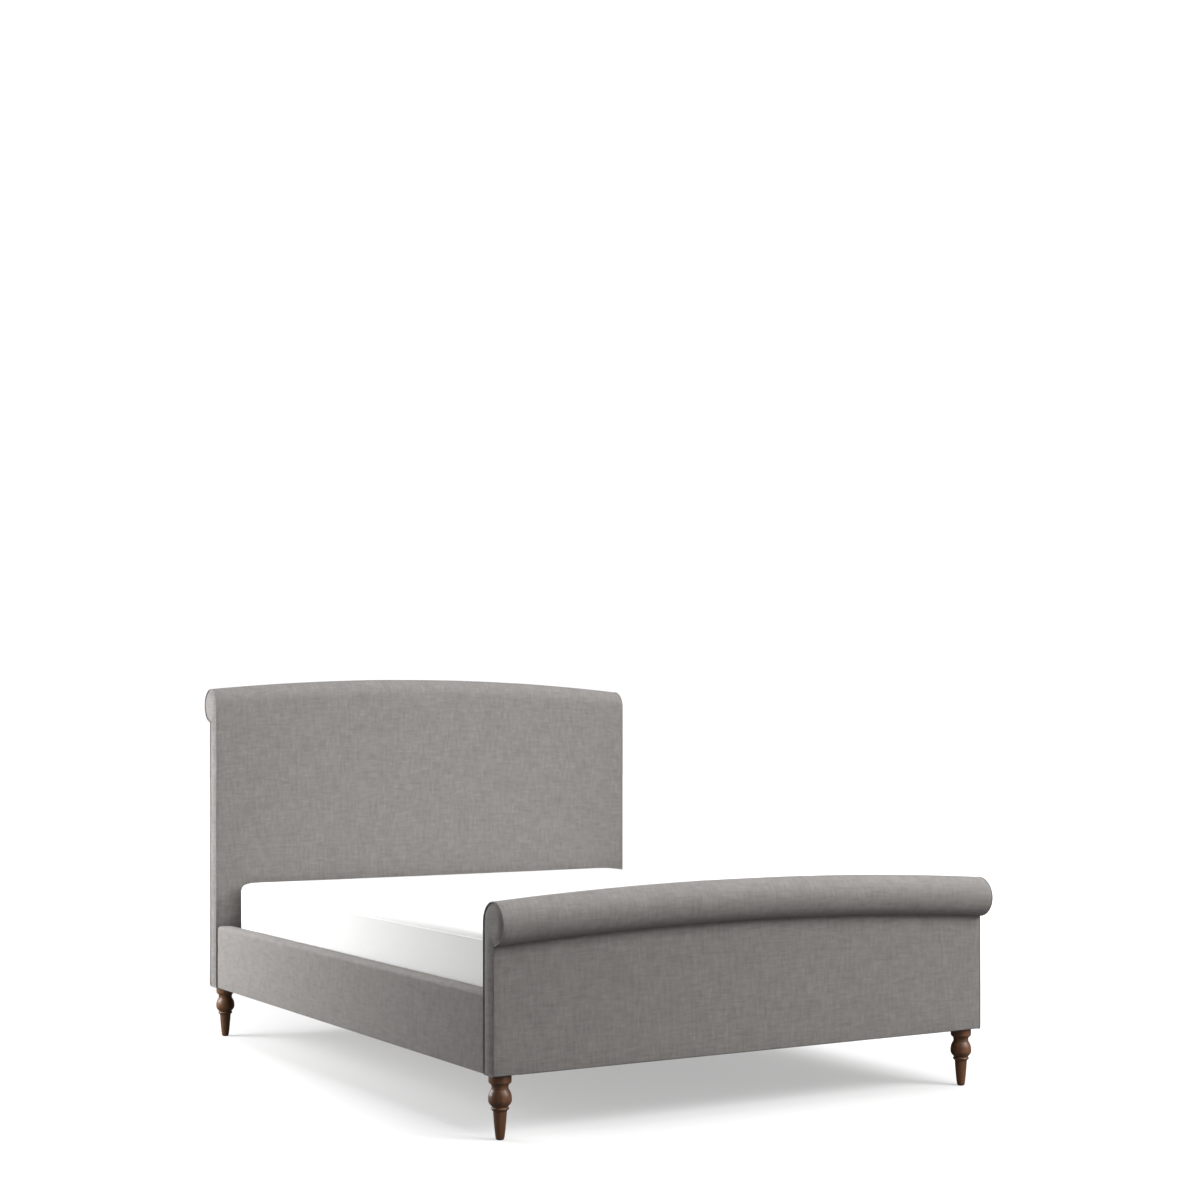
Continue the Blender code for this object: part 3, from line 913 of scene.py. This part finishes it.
    def scroll_outline(self, x: float, margin: float) -> Workpiece:
        """The outline of the panel's end as one flat face: a shaft with the roll's arc spun over it.

        Args:
            x: Where the face stands along the bed's width.
            margin: How far it stays inside the cover.

        Returns:
            The face, as a workpiece.
        """
        near, far = margin, self.outer_depth - margin
        radius = self.radius - margin
        meeting = math.acos((far - self.radius) / radius)
        shaft_top = self.roll_height - radius * math.sin(meeting)
        foot = self.bottom + self.hem_lift
        size = (1.0, far - near, shaft_top - foot)
        centre = Vector((x, self.y((near + far) / 2), (shaft_top + foot) / 2))
        piece = Workpiece.primitive("plane", size, centre, rotation=(0.0, math.pi / 2, 0.0))
        corner = Vector((x, self.y(near), shaft_top))
        with piece.edit():
            piece.select(Part.CORNER, lambda place, normal: (place - corner).length < TINY)
            piece.extrude((0.0, 0.0, self.roll_height - shaft_top))
            sweep = math.pi + meeting
            bpy.ops.mesh.spin(
                steps=self.roll_steps,
                angle=sweep * self.end.value,
                center=(x, self.y(self.radius), self.roll_height),
                axis=(1.0, 0.0, 0.0),
            )
            bpy.ops.mesh.select_mode(type="VERT")
            piece.take_all()
            bpy.ops.mesh.remove_doubles(threshold=self.seam_gap)
            piece.select(Part.FACE, lambda place, normal: True)
            bpy.ops.mesh.delete(type="ONLY_FACE")
            self.drop_inner_line(piece, shaft_top)
            piece.take_all()
            bpy.ops.mesh.edge_face_add()
        return piece

    def drop_inner_line(self, piece: Workpiece, height: float) -> None:
        """Delete the line across the shaft's top, which the scroll's outline doesn't have."""
        middle, reach = self.y(self.outer_depth / 2), self.outer_depth / 4

        def on_line(place: Vector, _run: Vector) -> bool:
            """Whether an edge's middle is on the line."""
            return abs(place.z - height) < TINY and abs(place.y - middle) < reach

        piece.select(Part.EDGE, on_line)
        bpy.ops.mesh.delete(type="EDGE")

    def build_facing(self, side: Side) -> None:
        """Make one crowned, scroll-shaped end facing.

        Args:
            side: Which end of the panel it closes.
        """
        out = side.value
        start = out * (self.half_width - self.facing_tuck)
        piece = self.scroll_outline(start, self.facing_margin)
        piece.face_out(lambda place: Vector((out, 0.0, 0.0)))
        inward = self.facing_reach / self.crown_steps
        with piece.edit():
            piece.select(Part.FACE, lambda place, normal: True)
            piece.extrude((out * self.facing_wall, 0.0, 0.0))
            for step in range(self.crown_steps):
                before, after = (1 - number / self.crown_steps for number in (step, step + 1))
                upward = self.facing_crown * (before**2 - after**2)
                bpy.ops.mesh.inset(thickness=inward, depth=upward, use_even_offset=True)
        piece.close_up()
        piece.lay_weave(box_weave)
        name = f"{self.end.word}_end_facing_{side.word}"
        piece.hand_over(f"{name}_padded", LINEN, replaces=name)

    def build_welt(self, side: Side) -> None:
        """Make the slim corded welt that is sewn round an end facing.

        Args:
            side: Which end of the panel it edges.
        """
        x = side.value * (self.half_width + self.welt_radius / 2)
        piece = self.scroll_outline(x, self.welt_radius * 0.7)
        with piece.edit():
            low = self.bottom + self.welt_radius * 2
            piece.select(Part.CORNER, lambda place, normal: place.z < low)
            bpy.ops.mesh.bevel(offset=self.welt_corner, segments=3, affect="VERTICES")
            piece.take_all()
            bpy.ops.mesh.delete(type="ONLY_FACE")
        piece = piece.cord(self.welt_radius)
        piece.close_up()
        piece.lay_weave(box_weave)
        piece.hand_over(f"{self.end.word}_end_welt_{side.word}", LINEN)

    def build(self) -> None:
        """Make every piece of the panel's upholstery."""
        self.build_cover()
        self.build_outer_panel()
        for side in Side:
            self.build_facing(side)
            self.build_welt(side)
        log.info("%s: crown %.0f mm, roll %.0f mm", self.end.word, self.crown * 1000, self.radius * 2000)


@dataclass
class SideRail:
    """A side rail's padded cover: up its outer face, over its top and down inside, behind the mattress."""

    side: Side
    rows: int = 96
    pad: float = 0.013
    top_pad: float = 0.010
    round_over: float = 0.012
    inner_round: float = 0.0038
    edge: float = 0.0036
    drawn_in: float = 0.0050
    drawn_over: float = 0.014
    stuffing: float = 0.0012
    patch: float = 0.25
    tuck: float = 0.005

    def __post_init__(self) -> None:
        """Read the rail's sizes from the frame."""
        self.name = f"side_rail_{self.side.word}_cover"
        low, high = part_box(self.name)
        board_low, board_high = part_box(f"side_rail_{self.side.word}_board")
        out = self.side.value
        self.half_length = high.y
        self.bottom, self.top = low.z, high.z
        self.outer_x, self.inner_x = (high.x, low.x) if out > 0 else (low.x, high.x)
        self.lining = abs(self.inner_x - (board_low.x if out > 0 else board_high.x))

    def draw_share(self, place: Vector) -> float:
        """How far the padding is drawn in: fully at the rail's ends, and not at all a little way along."""
        near_end = min(1.0, max(0.0, 1.0 - (self.half_length - abs(place.y)) / self.drawn_over))
        return 1.0 - math.sqrt(1.0 - near_end**2)

    def thickness_share(self, place: Vector) -> float:
        """How thick the padding is at a place, as a share of the outer pad."""
        inset = abs(place.x - self.outer_x)
        if place.z > self.top - self.inner_round - self.drawn_in:
            share = self.top_pad / self.pad
        else:
            share = 1.0 if inset < self.round_over else self.lining / self.pad
        return share * (1.0 - self.draw_share(place) * self.drawn_in / self.pad)

    def around(self, place: Vector, _normal: Vector) -> tuple[float, float]:
        """Cloth coordinates: along the rail, and up, over and down it."""
        inset = abs(place.x - self.outer_x)
        width = abs(self.inner_x - self.outer_x)
        if inset > width - self.inner_round:
            return place.y, self.top + width + (self.top - place.z)
        return place.y, place.z + inset

    def build(self) -> None:
        """Make the cover: an upright sheet whose top edge is turned in, carried over and turned down."""
        out = self.side.value
        shoulder = self.top - self.round_over
        size = (1.0, 2 * self.half_length, shoulder - self.bottom)
        centre = Vector((self.outer_x, 0.0, (shoulder + self.bottom) / 2))
        cuts = {"x_subdivisions": 8, "y_subdivisions": self.rows}
        piece = Workpiece.primitive("grid", size, centre, rotation=(0.0, math.pi / 2, 0.0), **cuts)
        with piece.edit():
            piece.select(Part.EDGE, lambda place, run: place.z > shoulder - TINY)
            self.turn_in(Vector((self.outer_x - out * self.round_over, 0.0, shoulder)), 8)
            inward = abs(self.inner_x - self.outer_x) - self.round_over - self.inner_round
            for _strip in range(3):
                piece.extrude((-out * inward / 3, 0.0, 0.0))
            corner = Vector((self.inner_x + out * self.inner_round, 0.0, self.top - self.inner_round))
            self.turn_in(corner, 5)
            lining_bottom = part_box("slat_01")[1].z + self.tuck
            drop = lining_bottom - corner.z
            for _strip in range(2):
                piece.extrude((0.0, 0.0, drop / 2))
            reaches = [self.half_length - self.drawn_over * step / 5 for step in range(1, 6)]
            cuts_at = [Vector((0.0, way * reach, 0.0)) for way in (-1, 1) for reach in reaches]
            piece.slice(cuts_at, (0.0, 1.0, 0.0))
        piece.close_up()
        middle = Vector(((self.outer_x + self.inner_x) / 2, 0.0, self.bottom))
        piece.face_out(lambda place: Vector((place.x - middle.x, 0.0, place.z - middle.z)))
        piece.lay_weave(self.around)
        piece.soften(self.stuffing, self.patch)
        piece.weigh("padding", self.thickness_share)
        piece.weigh("draw", self.draw_share)
        piece.raise_by("draw", -self.drawn_in, "NORMAL")
        piece.thicken(self.pad, vertex_group="padding")
        piece.round_edges(self.edge, 60)
        piece.hand_over(f"{self.name}_padded", LINEN, replaces=self.name)
        log.info("side rail %s: %.2f m long", self.side.word, 2 * self.half_length)

    def turn_in(self, centre: Vector, steps: int) -> None:
        """Spin the selected edge a quarter turn, towards the mattress."""
        axis = (0.0, self.side.value, 0.0)
        bpy.ops.mesh.spin(steps=steps, angle=math.pi / 2, center=tuple(centre), axis=axis)


@dataclass(frozen=True)
class TurnedMember:
    """One stretch of a turned leg: its two heights and radii, and how far it swells between them."""

    low: float
    high: float
    start: float
    finish: float
    swell: float = 0.0
    steps: int = 1

    def stations(self) -> list[tuple[float, float]]:
        """The (radius, height) points along it, both ends included."""
        points = []
        for step in range(self.steps + 1):
            share = step / self.steps
            radius = self.start + (self.finish - self.start) * share + self.swell * math.sin(math.pi * share)
            points.append((radius, self.low + (self.high - self.low) * share))
        return points


@dataclass
class TurnedLeg:
    """A turned and stained leg: taper, ring, bulb, neck and collar, cut as one from a blank."""

    end: End
    side: Side
    sides: int = 56

    def __post_init__(self) -> None:
        """Read where the leg stands from the frame."""
        self.name = f"leg_{self.end.word}_{self.side.word}"
        low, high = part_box(self.name)
        self.centre = Vector(((low.x + high.x) / 2, (low.y + high.y) / 2, 0.0))
        self.top = high.z

    def members(self) -> tuple[TurnedMember, ...]:
        """The leg's turned members, from the floor up."""
        top = self.top
        return (
            TurnedMember(0.0030, 0.0045, 0.0104, 0.0116, 0.0003, 2),
            TurnedMember(0.0045, 0.0735, 0.0116, 0.0180, 0.0006, 10),
            TurnedMember(0.0735, 0.0760, 0.0182, 0.0196, -0.0004, 3),
            TurnedMember(0.0760, 0.0850, 0.0200, 0.0208, 0.0032, 8),
            TurnedMember(0.0850, 0.0868, 0.0212, 0.0214, 0.0, 1),
            TurnedMember(0.0868, 0.1060, 0.0220, 0.0306, 0.0030, 9),
            TurnedMember(0.1060, 0.1300, 0.0306, 0.0234, 0.0020, 10),
            TurnedMember(0.1300, 0.1432, 0.0228, 0.0232, -0.0010, 7),
            TurnedMember(0.1432, 0.1458, 0.0244, 0.0256, 0.0004, 3),
            TurnedMember(0.1458, 0.1490, 0.0270, 0.0292, 0.0006, 4),
            TurnedMember(0.1490, top - 0.0030, 0.0296, 0.0296, 0.0004, 5),
            TurnedMember(top - 0.0030, top, 0.0296, 0.0282, 0.0007, 4),
        )

    def build(self) -> None:
        """Turn the leg and its glide."""
        stations = [point for member in self.members() for point in member.stations()]
        leg = Workpiece.turned(self.centre, stations, self.sides)
        leg.hand_over(f"{self.name}_turned", WALNUT, replaces=self.name)
        pad = [(0.0085, 0.0), (0.0100, 0.0008), (0.0103, 0.0022), (0.0098, 0.0029)]
        glide = Workpiece.turned(self.centre, pad, self.sides // 2)
        glide.hand_over(f"leg_glide_{self.end.word}_{self.side.word}", NYLON)


@dataclass
class Mattress:
    """A sprung mattress: a soft-edged body swelled by its own filling, with a narrow seam round each edge."""

    shrink: float = 0.004
    corner: float = 0.058
    edge: float = 0.024
    voxel: float = 0.019
    swell_cap: float = 0.0065
    frames: int = 20
    tape_width: float = 0.0042
    tape_drop: float = 0.026

    def __post_init__(self) -> None:
        """Read the mattress's place from the frame."""
        self.low, self.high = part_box("mattress")

    def build(self) -> None:
        """Shape, swell and cover the mattress, and run a seam round its two edges."""
        size = self.high - self.low - Vector((2 * self.shrink, 2 * self.shrink, self.shrink))
        centre = (self.high + self.low) / 2 - Vector((0.0, 0.0, self.shrink / 2))
        piece = Workpiece.primitive("cube", tuple(size), centre)
        with piece.edit():
            piece.select(Part.EDGE, lambda place, run: abs(run.z) > 0.9)
            bpy.ops.mesh.bevel(offset=self.corner, segments=6, affect="EDGES")
            level = (piece_top, piece_bottom) = (centre.z + size.z / 2, centre.z - size.z / 2)
            piece.select(Part.EDGE, lambda place, run: any(abs(place.z - height) < TINY for height in level))
            bpy.ops.mesh.bevel(offset=self.edge, segments=5, affect="EDGES")
        piece.pick_up()
        piece.item.data.remesh_voxel_size = self.voxel
        piece.item.data.use_remesh_preserve_volume = True
        bpy.ops.object.voxel_remesh()
        self.swell(piece)
        piece.modify("SUBSURF", levels=1, render_levels=1)
        piece.lay_weave(box_weave)
        body = piece.hand_over("mattress_body", TICKING, body="mattress", replaces="mattress")
        for place, height in (("top", piece_top - self.tape_drop), ("bottom", piece_bottom + self.tape_drop)):
            self.build_seam(place, height, body)
        log.info("mattress: %d faces", len(body.data.polygons))

    def swell(self, piece: Workpiece) -> None:
        """Let the filling press the cover outward, and hold every point near where it started.

        Args:
            piece: The mattress body.
        """
        item = piece.item
        started = [corner.co.copy() for corner in item.data.vertices]
        filling = item.modifiers.new("Filling", "CLOTH")
        filling.settings.use_pressure = True
        filling.settings.uniform_pressure_force = 4.0
        filling.settings.effector_weights.gravity = 0.0
        filling.settings.quality = 4
        filling.settings.mass = 0.4
        filling.point_cache.frame_start = 1
        filling.point_cache.frame_end = self.frames
        for step in range(1, self.frames + 1):
            bpy.context.scene.frame_set(step)
        piece.pick_up()
        bpy.ops.object.modifier_apply(modifier=filling.name)
        bpy.context.scene.frame_set(1)
        for corner, start in zip(item.data.vertices, started):
            move = corner.co - start
            if move.length > self.swell_cap:
                corner.co = start + move * (self.swell_cap / move.length)
            corner.co.x = max(self.low.x, min(self.high.x, corner.co.x))
            corner.co.z = max(self.low.z, corner.co.z)

    def build_seam(self, place: str, height: float, body: Object) -> None:
        """Lay a narrow corded seam on the mattress, all the way round.

        Args:
            place: Which edge it is on.
            height: How high it runs.
            body: The mattress body that it lies on.
        """
        size = self.high - self.low
        centre = (self.high + self.low) / 2
        middle = Vector((centre.x, centre.y, height))
        piece = Workpiece.primitive("plane", (size.x, size.y, 1.0), middle)
        with piece.edit():
            piece.take_all()
            bpy.ops.mesh.bevel(offset=self.corner, segments=10, affect="VERTICES")
            piece.take_all()
            bpy.ops.mesh.delete(type="ONLY_FACE")
            piece.select(Part.EDGE, lambda spot, run: max(abs(spot.x), abs(spot.y)) > self.corner)
            bpy.ops.mesh.subdivide(number_cuts=3)
            piece.take_all()
            bpy.ops.mesh.subdivide(number_cuts=4)
        piece.modify("SHRINKWRAP", target=body, wrap_method="NEAREST_SURFACEPOINT", offset=0.0)
        seam = piece.cord(self.tape_width / 2)
        seam.close_up(merge=HAIR)
        seam.lay_weave(box_weave)
        seam.hand_over(f"mattress_seam_{place}", TICKING, body="mattress")


def hexagon(centre: Vector, radius: float, low: float, high: float, chamfer: float, both: bool) -> Workpiece:
    """A hexagonal head or nut, upright, with chamfered rims.

    Args:
        centre: A point on its axis; heights count from there.
        radius: From its axis to a corner.
        low: Where it starts.
        high: Where it ends.
        chamfer: The chamfer's width.
        both: Whether the upper rim is chamfered as well as the lower one.

    Returns:
        The workpiece.
    """
    piece = Workpiece.turned(centre, [(radius, low), (radius, high)], 6)
    top = centre.z + (high if both else low)
    with piece.edit():
        piece.select(Part.EDGE, lambda place, run: place.z < top + TINY and abs(run.z) < 0.5)
        bpy.ops.mesh.bevel(offset=chamfer, segments=2, affect="EDGES")
    return piece


def thread(low: float, high: float, pitch: float, crest: float, root: float) -> list[tuple[float, float]]:
    """The (radius, height) points of a threaded rod: crests and roots in turn, for as many turns as fit."""
    feet = [low + turn * pitch for turn in range(int((high - low) / pitch))]
    return [point for foot in feet for point in ((crest, foot), (root, foot + pitch / 2))]


@dataclass
class BedBolt:
    """A hexagon-headed bed bolt with its washer, screwed through the corner bracket into the panel's post."""

    end: End
    side: Side
    head_radius: float = 0.0080
    washer_radius: float = 0.0098
    washer: float = 0.0012
    bracket: float = 0.004
    chamfer: float = 0.0006
    thread_pitch: float = 0.00125
    shank: float = 0.0040
    root: float = 0.0036

    def __post_init__(self) -> None:
        """Read the bolt's place and sizes from the frame."""
        self.name = f"bed_bolt_{self.end.word}_{self.side.word}"
        low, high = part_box(self.name)
        self.length = high.y - low.y
        head_y = low.y if self.end is End.HEADBOARD else high.y
        self.centre = Vector(((low.x + high.x) / 2, head_y, (low.z + high.z) / 2))
        bracket_low, bracket_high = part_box(f"corner_bracket_{self.end.word}_{self.side.word}")
        ends = (bracket_low.y, bracket_high.y)
        face = (max(ends) if self.end is End.HEADBOARD else min(ends)) - self.end.value * self.bracket
        self.head = abs(face - head_y)

    def build(self) -> None:
        """Make the bolt upright, then lay it along the bed."""
        under_head = self.head - self.washer
        head = hexagon(self.centre, self.head_radius, 0.0, under_head, self.chamfer, both=False)
        rim = self.washer_radius
        slope = self.washer * 0.25
        plate = [(rim - slope, under_head), (rim, under_head + slope), (rim, self.head)]
        washer = Workpiece.turned(self.centre, plate, 40)
        rod = thread(self.head, self.length, self.thread_pitch, self.shank, self.root)
        shank = Workpiece.turned(self.centre, [*rod, (self.root, self.length)], 20)
        head.join(washer, shank)
        head.turn_about(-self.end.value * math.pi / 2, "X", self.centre)
        head.close_up(merge=HAIR)
        head.hand_over(f"{self.name}_hexagon", ZINC, replaces=self.name)


@dataclass
class LevellingFoot:
    """The support leg's screw-in foot: a moulded pad, a steel nut and a threaded stem."""

    pad: float = 0.0080
    nut_radius: float = 0.0072
    nut: float = 0.0050
    chamfer: float = 0.0006
    pitch: float = 0.00125
    crest: float = 0.0040
    root: float = 0.0035

    def build(self) -> None:
        """Make the pad, which stands for the frame's foot, and the steel that is screwed into it."""
        low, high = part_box("levelling_foot")
        centre = Vector(((low.x + high.x) / 2, (low.y + high.y) / 2, low.z))
        radius = (high.x - low.x) / 2
        profile = [(radius - 0.0012, 0.0), (radius, 0.0010), (radius, 0.0040), (radius - 0.0012, 0.0054)]
        profile += [(radius * 0.62, 0.0064), (radius * 0.52, 0.0074), (radius * 0.50, self.pad)]
        pad = Workpiece.turned(centre, profile, 64)
        pad.hand_over("levelling_foot_pad", NYLON, body="levelling_foot", replaces="levelling_foot")
        top = self.pad + self.nut
        nut = hexagon(centre, self.nut_radius, self.pad, top, self.chamfer, both=True)
        nut.join(Workpiece.turned(centre, thread(top, high.z - low.z, self.pitch, self.crest, self.root), 24))
        nut.hand_over("levelling_foot_stem", ZINC, body="levelling_foot")


@dataclass
class SlatTape:
    """A woven tape under the slats, which keeps them at their spacing and sags a little between them."""

    side: Side
    offset: float = 0.36
    set_back: float = 0.01
    width: float = 0.028
    thickness: float = 0.0009
    clearance: float = 0.0001
    sag: float = 0.0022

    def build(self) -> None:
        """Lay the tape along the bed."""
        names = [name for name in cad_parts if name.startswith("slat_") and name[-1].isdigit()]
        slats = [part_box(name) for name in sorted(names)]
        first, last = slats[0][0].y + self.set_back, slats[-1][1].y - self.set_back
        under = slats[0][0].z - self.clearance
        centre = Vector((self.side.value * self.offset, (first + last) / 2, under))
        pitch = slats[1][0].y - slats[0][0].y
        gap = pitch - (slats[0][1].y - slats[0][0].y)

        def hang(place: Vector) -> float:
            """How much of the full sag the tape has at a place: none under a slat."""
            from_gap = abs((place.y - slats[0][1].y - gap / 2) / pitch)
            off_middle = abs(from_gap - round(from_gap)) * pitch
            return max(0.0, math.cos(math.pi / 2 * min(1.0, off_middle / (gap / 2))))

        cuts = {"x_subdivisions": 4, "y_subdivisions": 264}
        piece = Workpiece.primitive("grid", (self.width, last - first, 1.0), centre, **cuts)
        piece.lay_weave(box_weave)
        piece.weigh("hang", hang)
        piece.raise_by("hang", -self.sag)
        piece.thicken(self.thickness)
        piece.hand_over(f"slat_tape_{self.side.word}", WEBBING)


@dataclass
class TurnUnder:
    """Where a cover's cloth is turned under its board and held with a row of staples."""

    name: str
    low: Vector
    high: Vector
    thickness: float = 0.0006
    clearance: ClassVar[float] = 0.0001
    leg_gap: ClassVar[float] = 0.006
    panel_edges: ClassVar[tuple[float, float]] = (0.003, 0.022)
    rail_edges: ClassVar[tuple[float, float]] = (0.002, 0.038)
    staple_pitch: float = 0.032
    staple_length: float = 0.0095
    staple_wire: float = 0.0007

    @classmethod
    def of_panel(cls, end: End) -> "TurnUnder":
        """The strip under a headboard or footboard, between its two legs."""
        low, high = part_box(f"{end.word}_outer_panel")
        cover_low, cover_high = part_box(f"{end.word}_cover")
        outer = high.y if end is End.HEADBOARD else low.y
        inner = cover_low.y if end is End.HEADBOARD else cover_high.y
        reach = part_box(f"leg_{end.word}_right")[0].x - cls.leg_gap
        outer_edge, inner_edge = cls.panel_edges
        near, far = sorted((outer - end.value * outer_edge, inner + end.value * inner_edge))
        height = low.z - cls.clearance
        return cls(end.word, Vector((-reach, near, height)), Vector((reach, far, height)))

    @classmethod
    def of_rail(cls, side: Side) -> "TurnUnder":
        """The strip under a side rail, between its two legs."""
        low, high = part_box(f"side_rail_{side.word}_cover")
        outer = high.x if side is Side.RIGHT else low.x
        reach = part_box(f"leg_headboard_{side.word}")[0].y - cls.leg_gap
        near, far = sorted(outer - side.value * edge for edge in cls.rail_edges)
        height = low.z - cls.clearance
        return cls(f"side_rail_{side.word}", Vector((near, -reach, height)), Vector((far, reach, height)))

    def build(self) -> None:
        """Make the strip of cloth and its staples. The strip lies between two opposite corners."""
        size = self.high - self.low
        middle = (self.high + self.low) / 2
        lengthwise = 0 if size.x > size.y else 1
        length = size[lengthwise]
        cuts = [6, 6]
        cuts[lengthwise] = 120
        strip = Workpiece.primitive(
            "grid", (size.x, size.y, 1.0), middle, x_subdivisions=cuts[0], y_subdivisions=cuts[1]
        )
        strip.lay_weave(box_weave)
        strip.thicken(self.thickness)
        strip.hand_over(f"{self.name}_turn_under", LINEN)

        reach = Vector((self.staple_wire * 1.6, self.staple_wire * 1.6, self.staple_wire))
        reach[lengthwise] = self.staple_length
        start = middle.copy()
        start[lengthwise] -= length / 2 - self.staple_pitch / 2
        start.z = middle.z - self.thickness - self.staple_wire / 2
        staple = Workpiece.primitive("cube", tuple(reach), start)
        with staple.edit():
            staple.take_all()
            bpy.ops.mesh.bevel(offset=self.staple_wire * 0.3, segments=1, affect="EDGES")
        step = [0.0, 0.0, 0.0]
        step[lengthwise] = self.staple_pitch
        staple.modify(
            "ARRAY",
            count=int(length / self.staple_pitch),
            use_relative_offset=False,
            use_constant_offset=True,
            constant_offset_displace=step,
        )
        staple.hand_over(f"{self.name}_staples", ZINC)


@dataclass
class Woodwork:
    """The bed frame's own pieces, which keep their shapes and get their finishes."""

    finishes: tuple[tuple[str, Finish], ...] = (
        ("roll_core", FOAM),
        ("face_board", PLY),
        ("bottom_rail", pine(Grain.ACROSS)),
        ("_post_", pine(Grain.UPRIGHT)),
        ("side_rail_", pine(Grain.ALONG)),
        ("slat_bearer", pine(Grain.ALONG)),
        ("slat_", pine(Grain.ACROSS)),
        ("centre_rail_saddle", ZINC),
        ("centre_rail", pine(Grain.ALONG)),
        ("support_leg", pine(Grain.UPRIGHT)),
        ("corner_bracket", ZINC),
        ("leg_stud", ZINC),
    )

    def dress(self) -> None:
        """Give every node that still shows its finish."""
        for name, node in sorted(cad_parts.items()):
            if node.hide_render:
                continue
            finish = next(finish for part, finish in self.finishes if part in name)
            node.data.materials.clear()
            node.data.materials.append(finish.material())
            log.info("%s: %s", name, finish.name)


@dataclass
class Studio:
    """A pale floor, soft light and the camera."""

    floor_size: float = 60.0
    floor_tone: float = 0.49
    floor_bounce: float = 0.16
    floor_glow: float = 0.43
    far_glow: float = 1.2
    glow_starts: float = 2.2
    glow_full: float = 4.5
    surround: float = 0.25
    surround_seen: float = 1.05
    camera_place: Triple = (-3.2067, -5.7197, 1.0778)
    camera_turn: float = math.radians(-31.08)
    lens: float = 61.58
    sensor: float = 36.0
    shift: tuple[float, float] = (-0.0258, 0.1009)

    def build(self) -> None:
        """Set up the floor, the surround, the lights and the camera."""
        self.floor()
        self.surroundings()
        self.light("key_side", (-2.7, 1.2, 1.0), (-0.8, 0.0, 0.3), (1.7, 1.2), 51.5)
        self.light("key_corner", (-1.9, 1.7, 0.9), (-0.8, 0.6, 0.4), (0.9, 1.0), 34.5)
        self.light("overhead", (0.3, -0.6, 4.4), (0.0, 0.0, 0.0), (3.6, 3.6), 186.0)
        self.light("overhead_front", (0.0, -4.2, 3.6), (0.0, -0.5, 0.3), (3.0, 2.0), 44.5)
        self.light("fill_low", (3.4, -4.6, 1.9), (0.0, -0.6, 0.4), (3.0, 2.4), 75.0)
        self.light("fill_high", (3.0, -4.4, 3.6), (0.0, -0.6, 0.4), (2.6, 2.4), 242.0)
        self.camera()
        log.info("studio: floor, surround, six lights and camera")

    def floor(self) -> None:
        """Lay a pale floor that glows towards the camera, more so far off, and throws little light back."""
        clear_bench()
        bpy.ops.mesh.primitive_plane_add(size=self.floor_size)
        floor = bpy.context.object
        floor.name = "studio_floor"
        paint = bpy.data.materials.new("pale_floor")
        paint.use_nodes = True
        wiring = Wiring(paint.node_tree)
        shader = paint.node_tree.nodes["Principled BSDF"].inputs
        shader["Roughness"].default_value = 0.85
        shader["Specular IOR Level"].default_value = 0.1
        shader["Emission Color"].default_value = (1.0, 1.0, 1.0, 1.0)
        place = wiring.add("ShaderNodeTexCoord").outputs["Object"]
        away = wiring.add("ShaderNodeVectorMath", {0: place}, operation="LENGTH").outputs["Value"]
        glow = wiring.remap(away, self.glow_starts, self.glow_full, self.floor_glow, self.far_glow)
        seen = wiring.add("ShaderNodeLightPath").outputs["Is Camera Ray"]
        wiring.link(wiring.calc("MULTIPLY", glow, seen), shader["Emission Strength"])
        tone = wiring.remap(seen, 0.0, 1.0, self.floor_bounce, self.floor_tone)
        wiring.link(tone, shader["Base Color"])
        floor.data.materials.append(paint)

    def surroundings(self) -> None:
        """Make the surround white to look at, and faint as a light."""
        world = bpy.data.worlds.new("studio_surround")
        bpy.context.scene.world = world
        world.use_nodes = True
        wiring = Wiring(world.node_tree)
        background = world.node_tree.nodes["Background"]
        seen = wiring.add("ShaderNodeLightPath").outputs["Is Camera Ray"]
        strength = wiring.remap(seen, 0.0, 1.0, self.surround, self.surround_seen)
        wiring.link(strength, background.inputs["Strength"])
        background.inputs["Color"].default_value = (1.0, 1.0, 1.0, 1.0)
        bpy.context.scene.view_settings.view_transform = "Standard"

    def light(
        self,
        name: str,
        place: Triple,
        target: Triple,
        size: tuple[float, float],
        power: float,
    ) -> None:
        """Hang one soft rectangular light.

        Args:
            name: What the light does.
            place: Where it hangs.
            target: What it points at.
            size: Its width and height.
            power: Its power in watts.
        """
        clear_bench()
        aim = Vector(target) - Vector(place)
        turn = aim.to_track_quat("-Z", "Y").to_euler()
        bpy.ops.object.light_add(type="AREA", location=place, rotation=turn)
        lamp = bpy.context.object
        lamp.name = f"{name}_light"
        lamp.data.shape = "RECTANGLE"
        lamp.data.size, lamp.data.size_y = size
        lamp.data.energy = power
        lamp.visible_camera = False

    def camera(self) -> None:
        """Set up the camera, level and looking across the foot's left corner."""
        clear_bench()
        turn = (math.pi / 2, 0.0, self.camera_turn)
        bpy.ops.object.camera_add(location=self.camera_place, rotation=turn)
        camera = bpy.context.object
        camera.name = "studio_camera"
        camera.data.lens = self.lens
        camera.data.sensor_width = self.sensor
        camera.data.shift_x, camera.data.shift_y = self.shift
        bpy.context.scene.camera = camera


def main() -> None:
    """Build the bed's pieces in order, then the studio."""
    for end in End:
        ScrollPanel(end).build()
    for side in Side:
        SideRail(side).build()
    for end in End:
        for side in Side:
            TurnedLeg(end, side).build()
            BedBolt(end, side).build()
    LevellingFoot().build()
    for side in Side:
        SlatTape(side).build()
        TurnUnder.of_rail(side).build()
    for end in End:
        TurnUnder.of_panel(end).build()
    Mattress().build()
    Woodwork().dress()
    Studio().build()


if __name__ == "__main__":
    main()
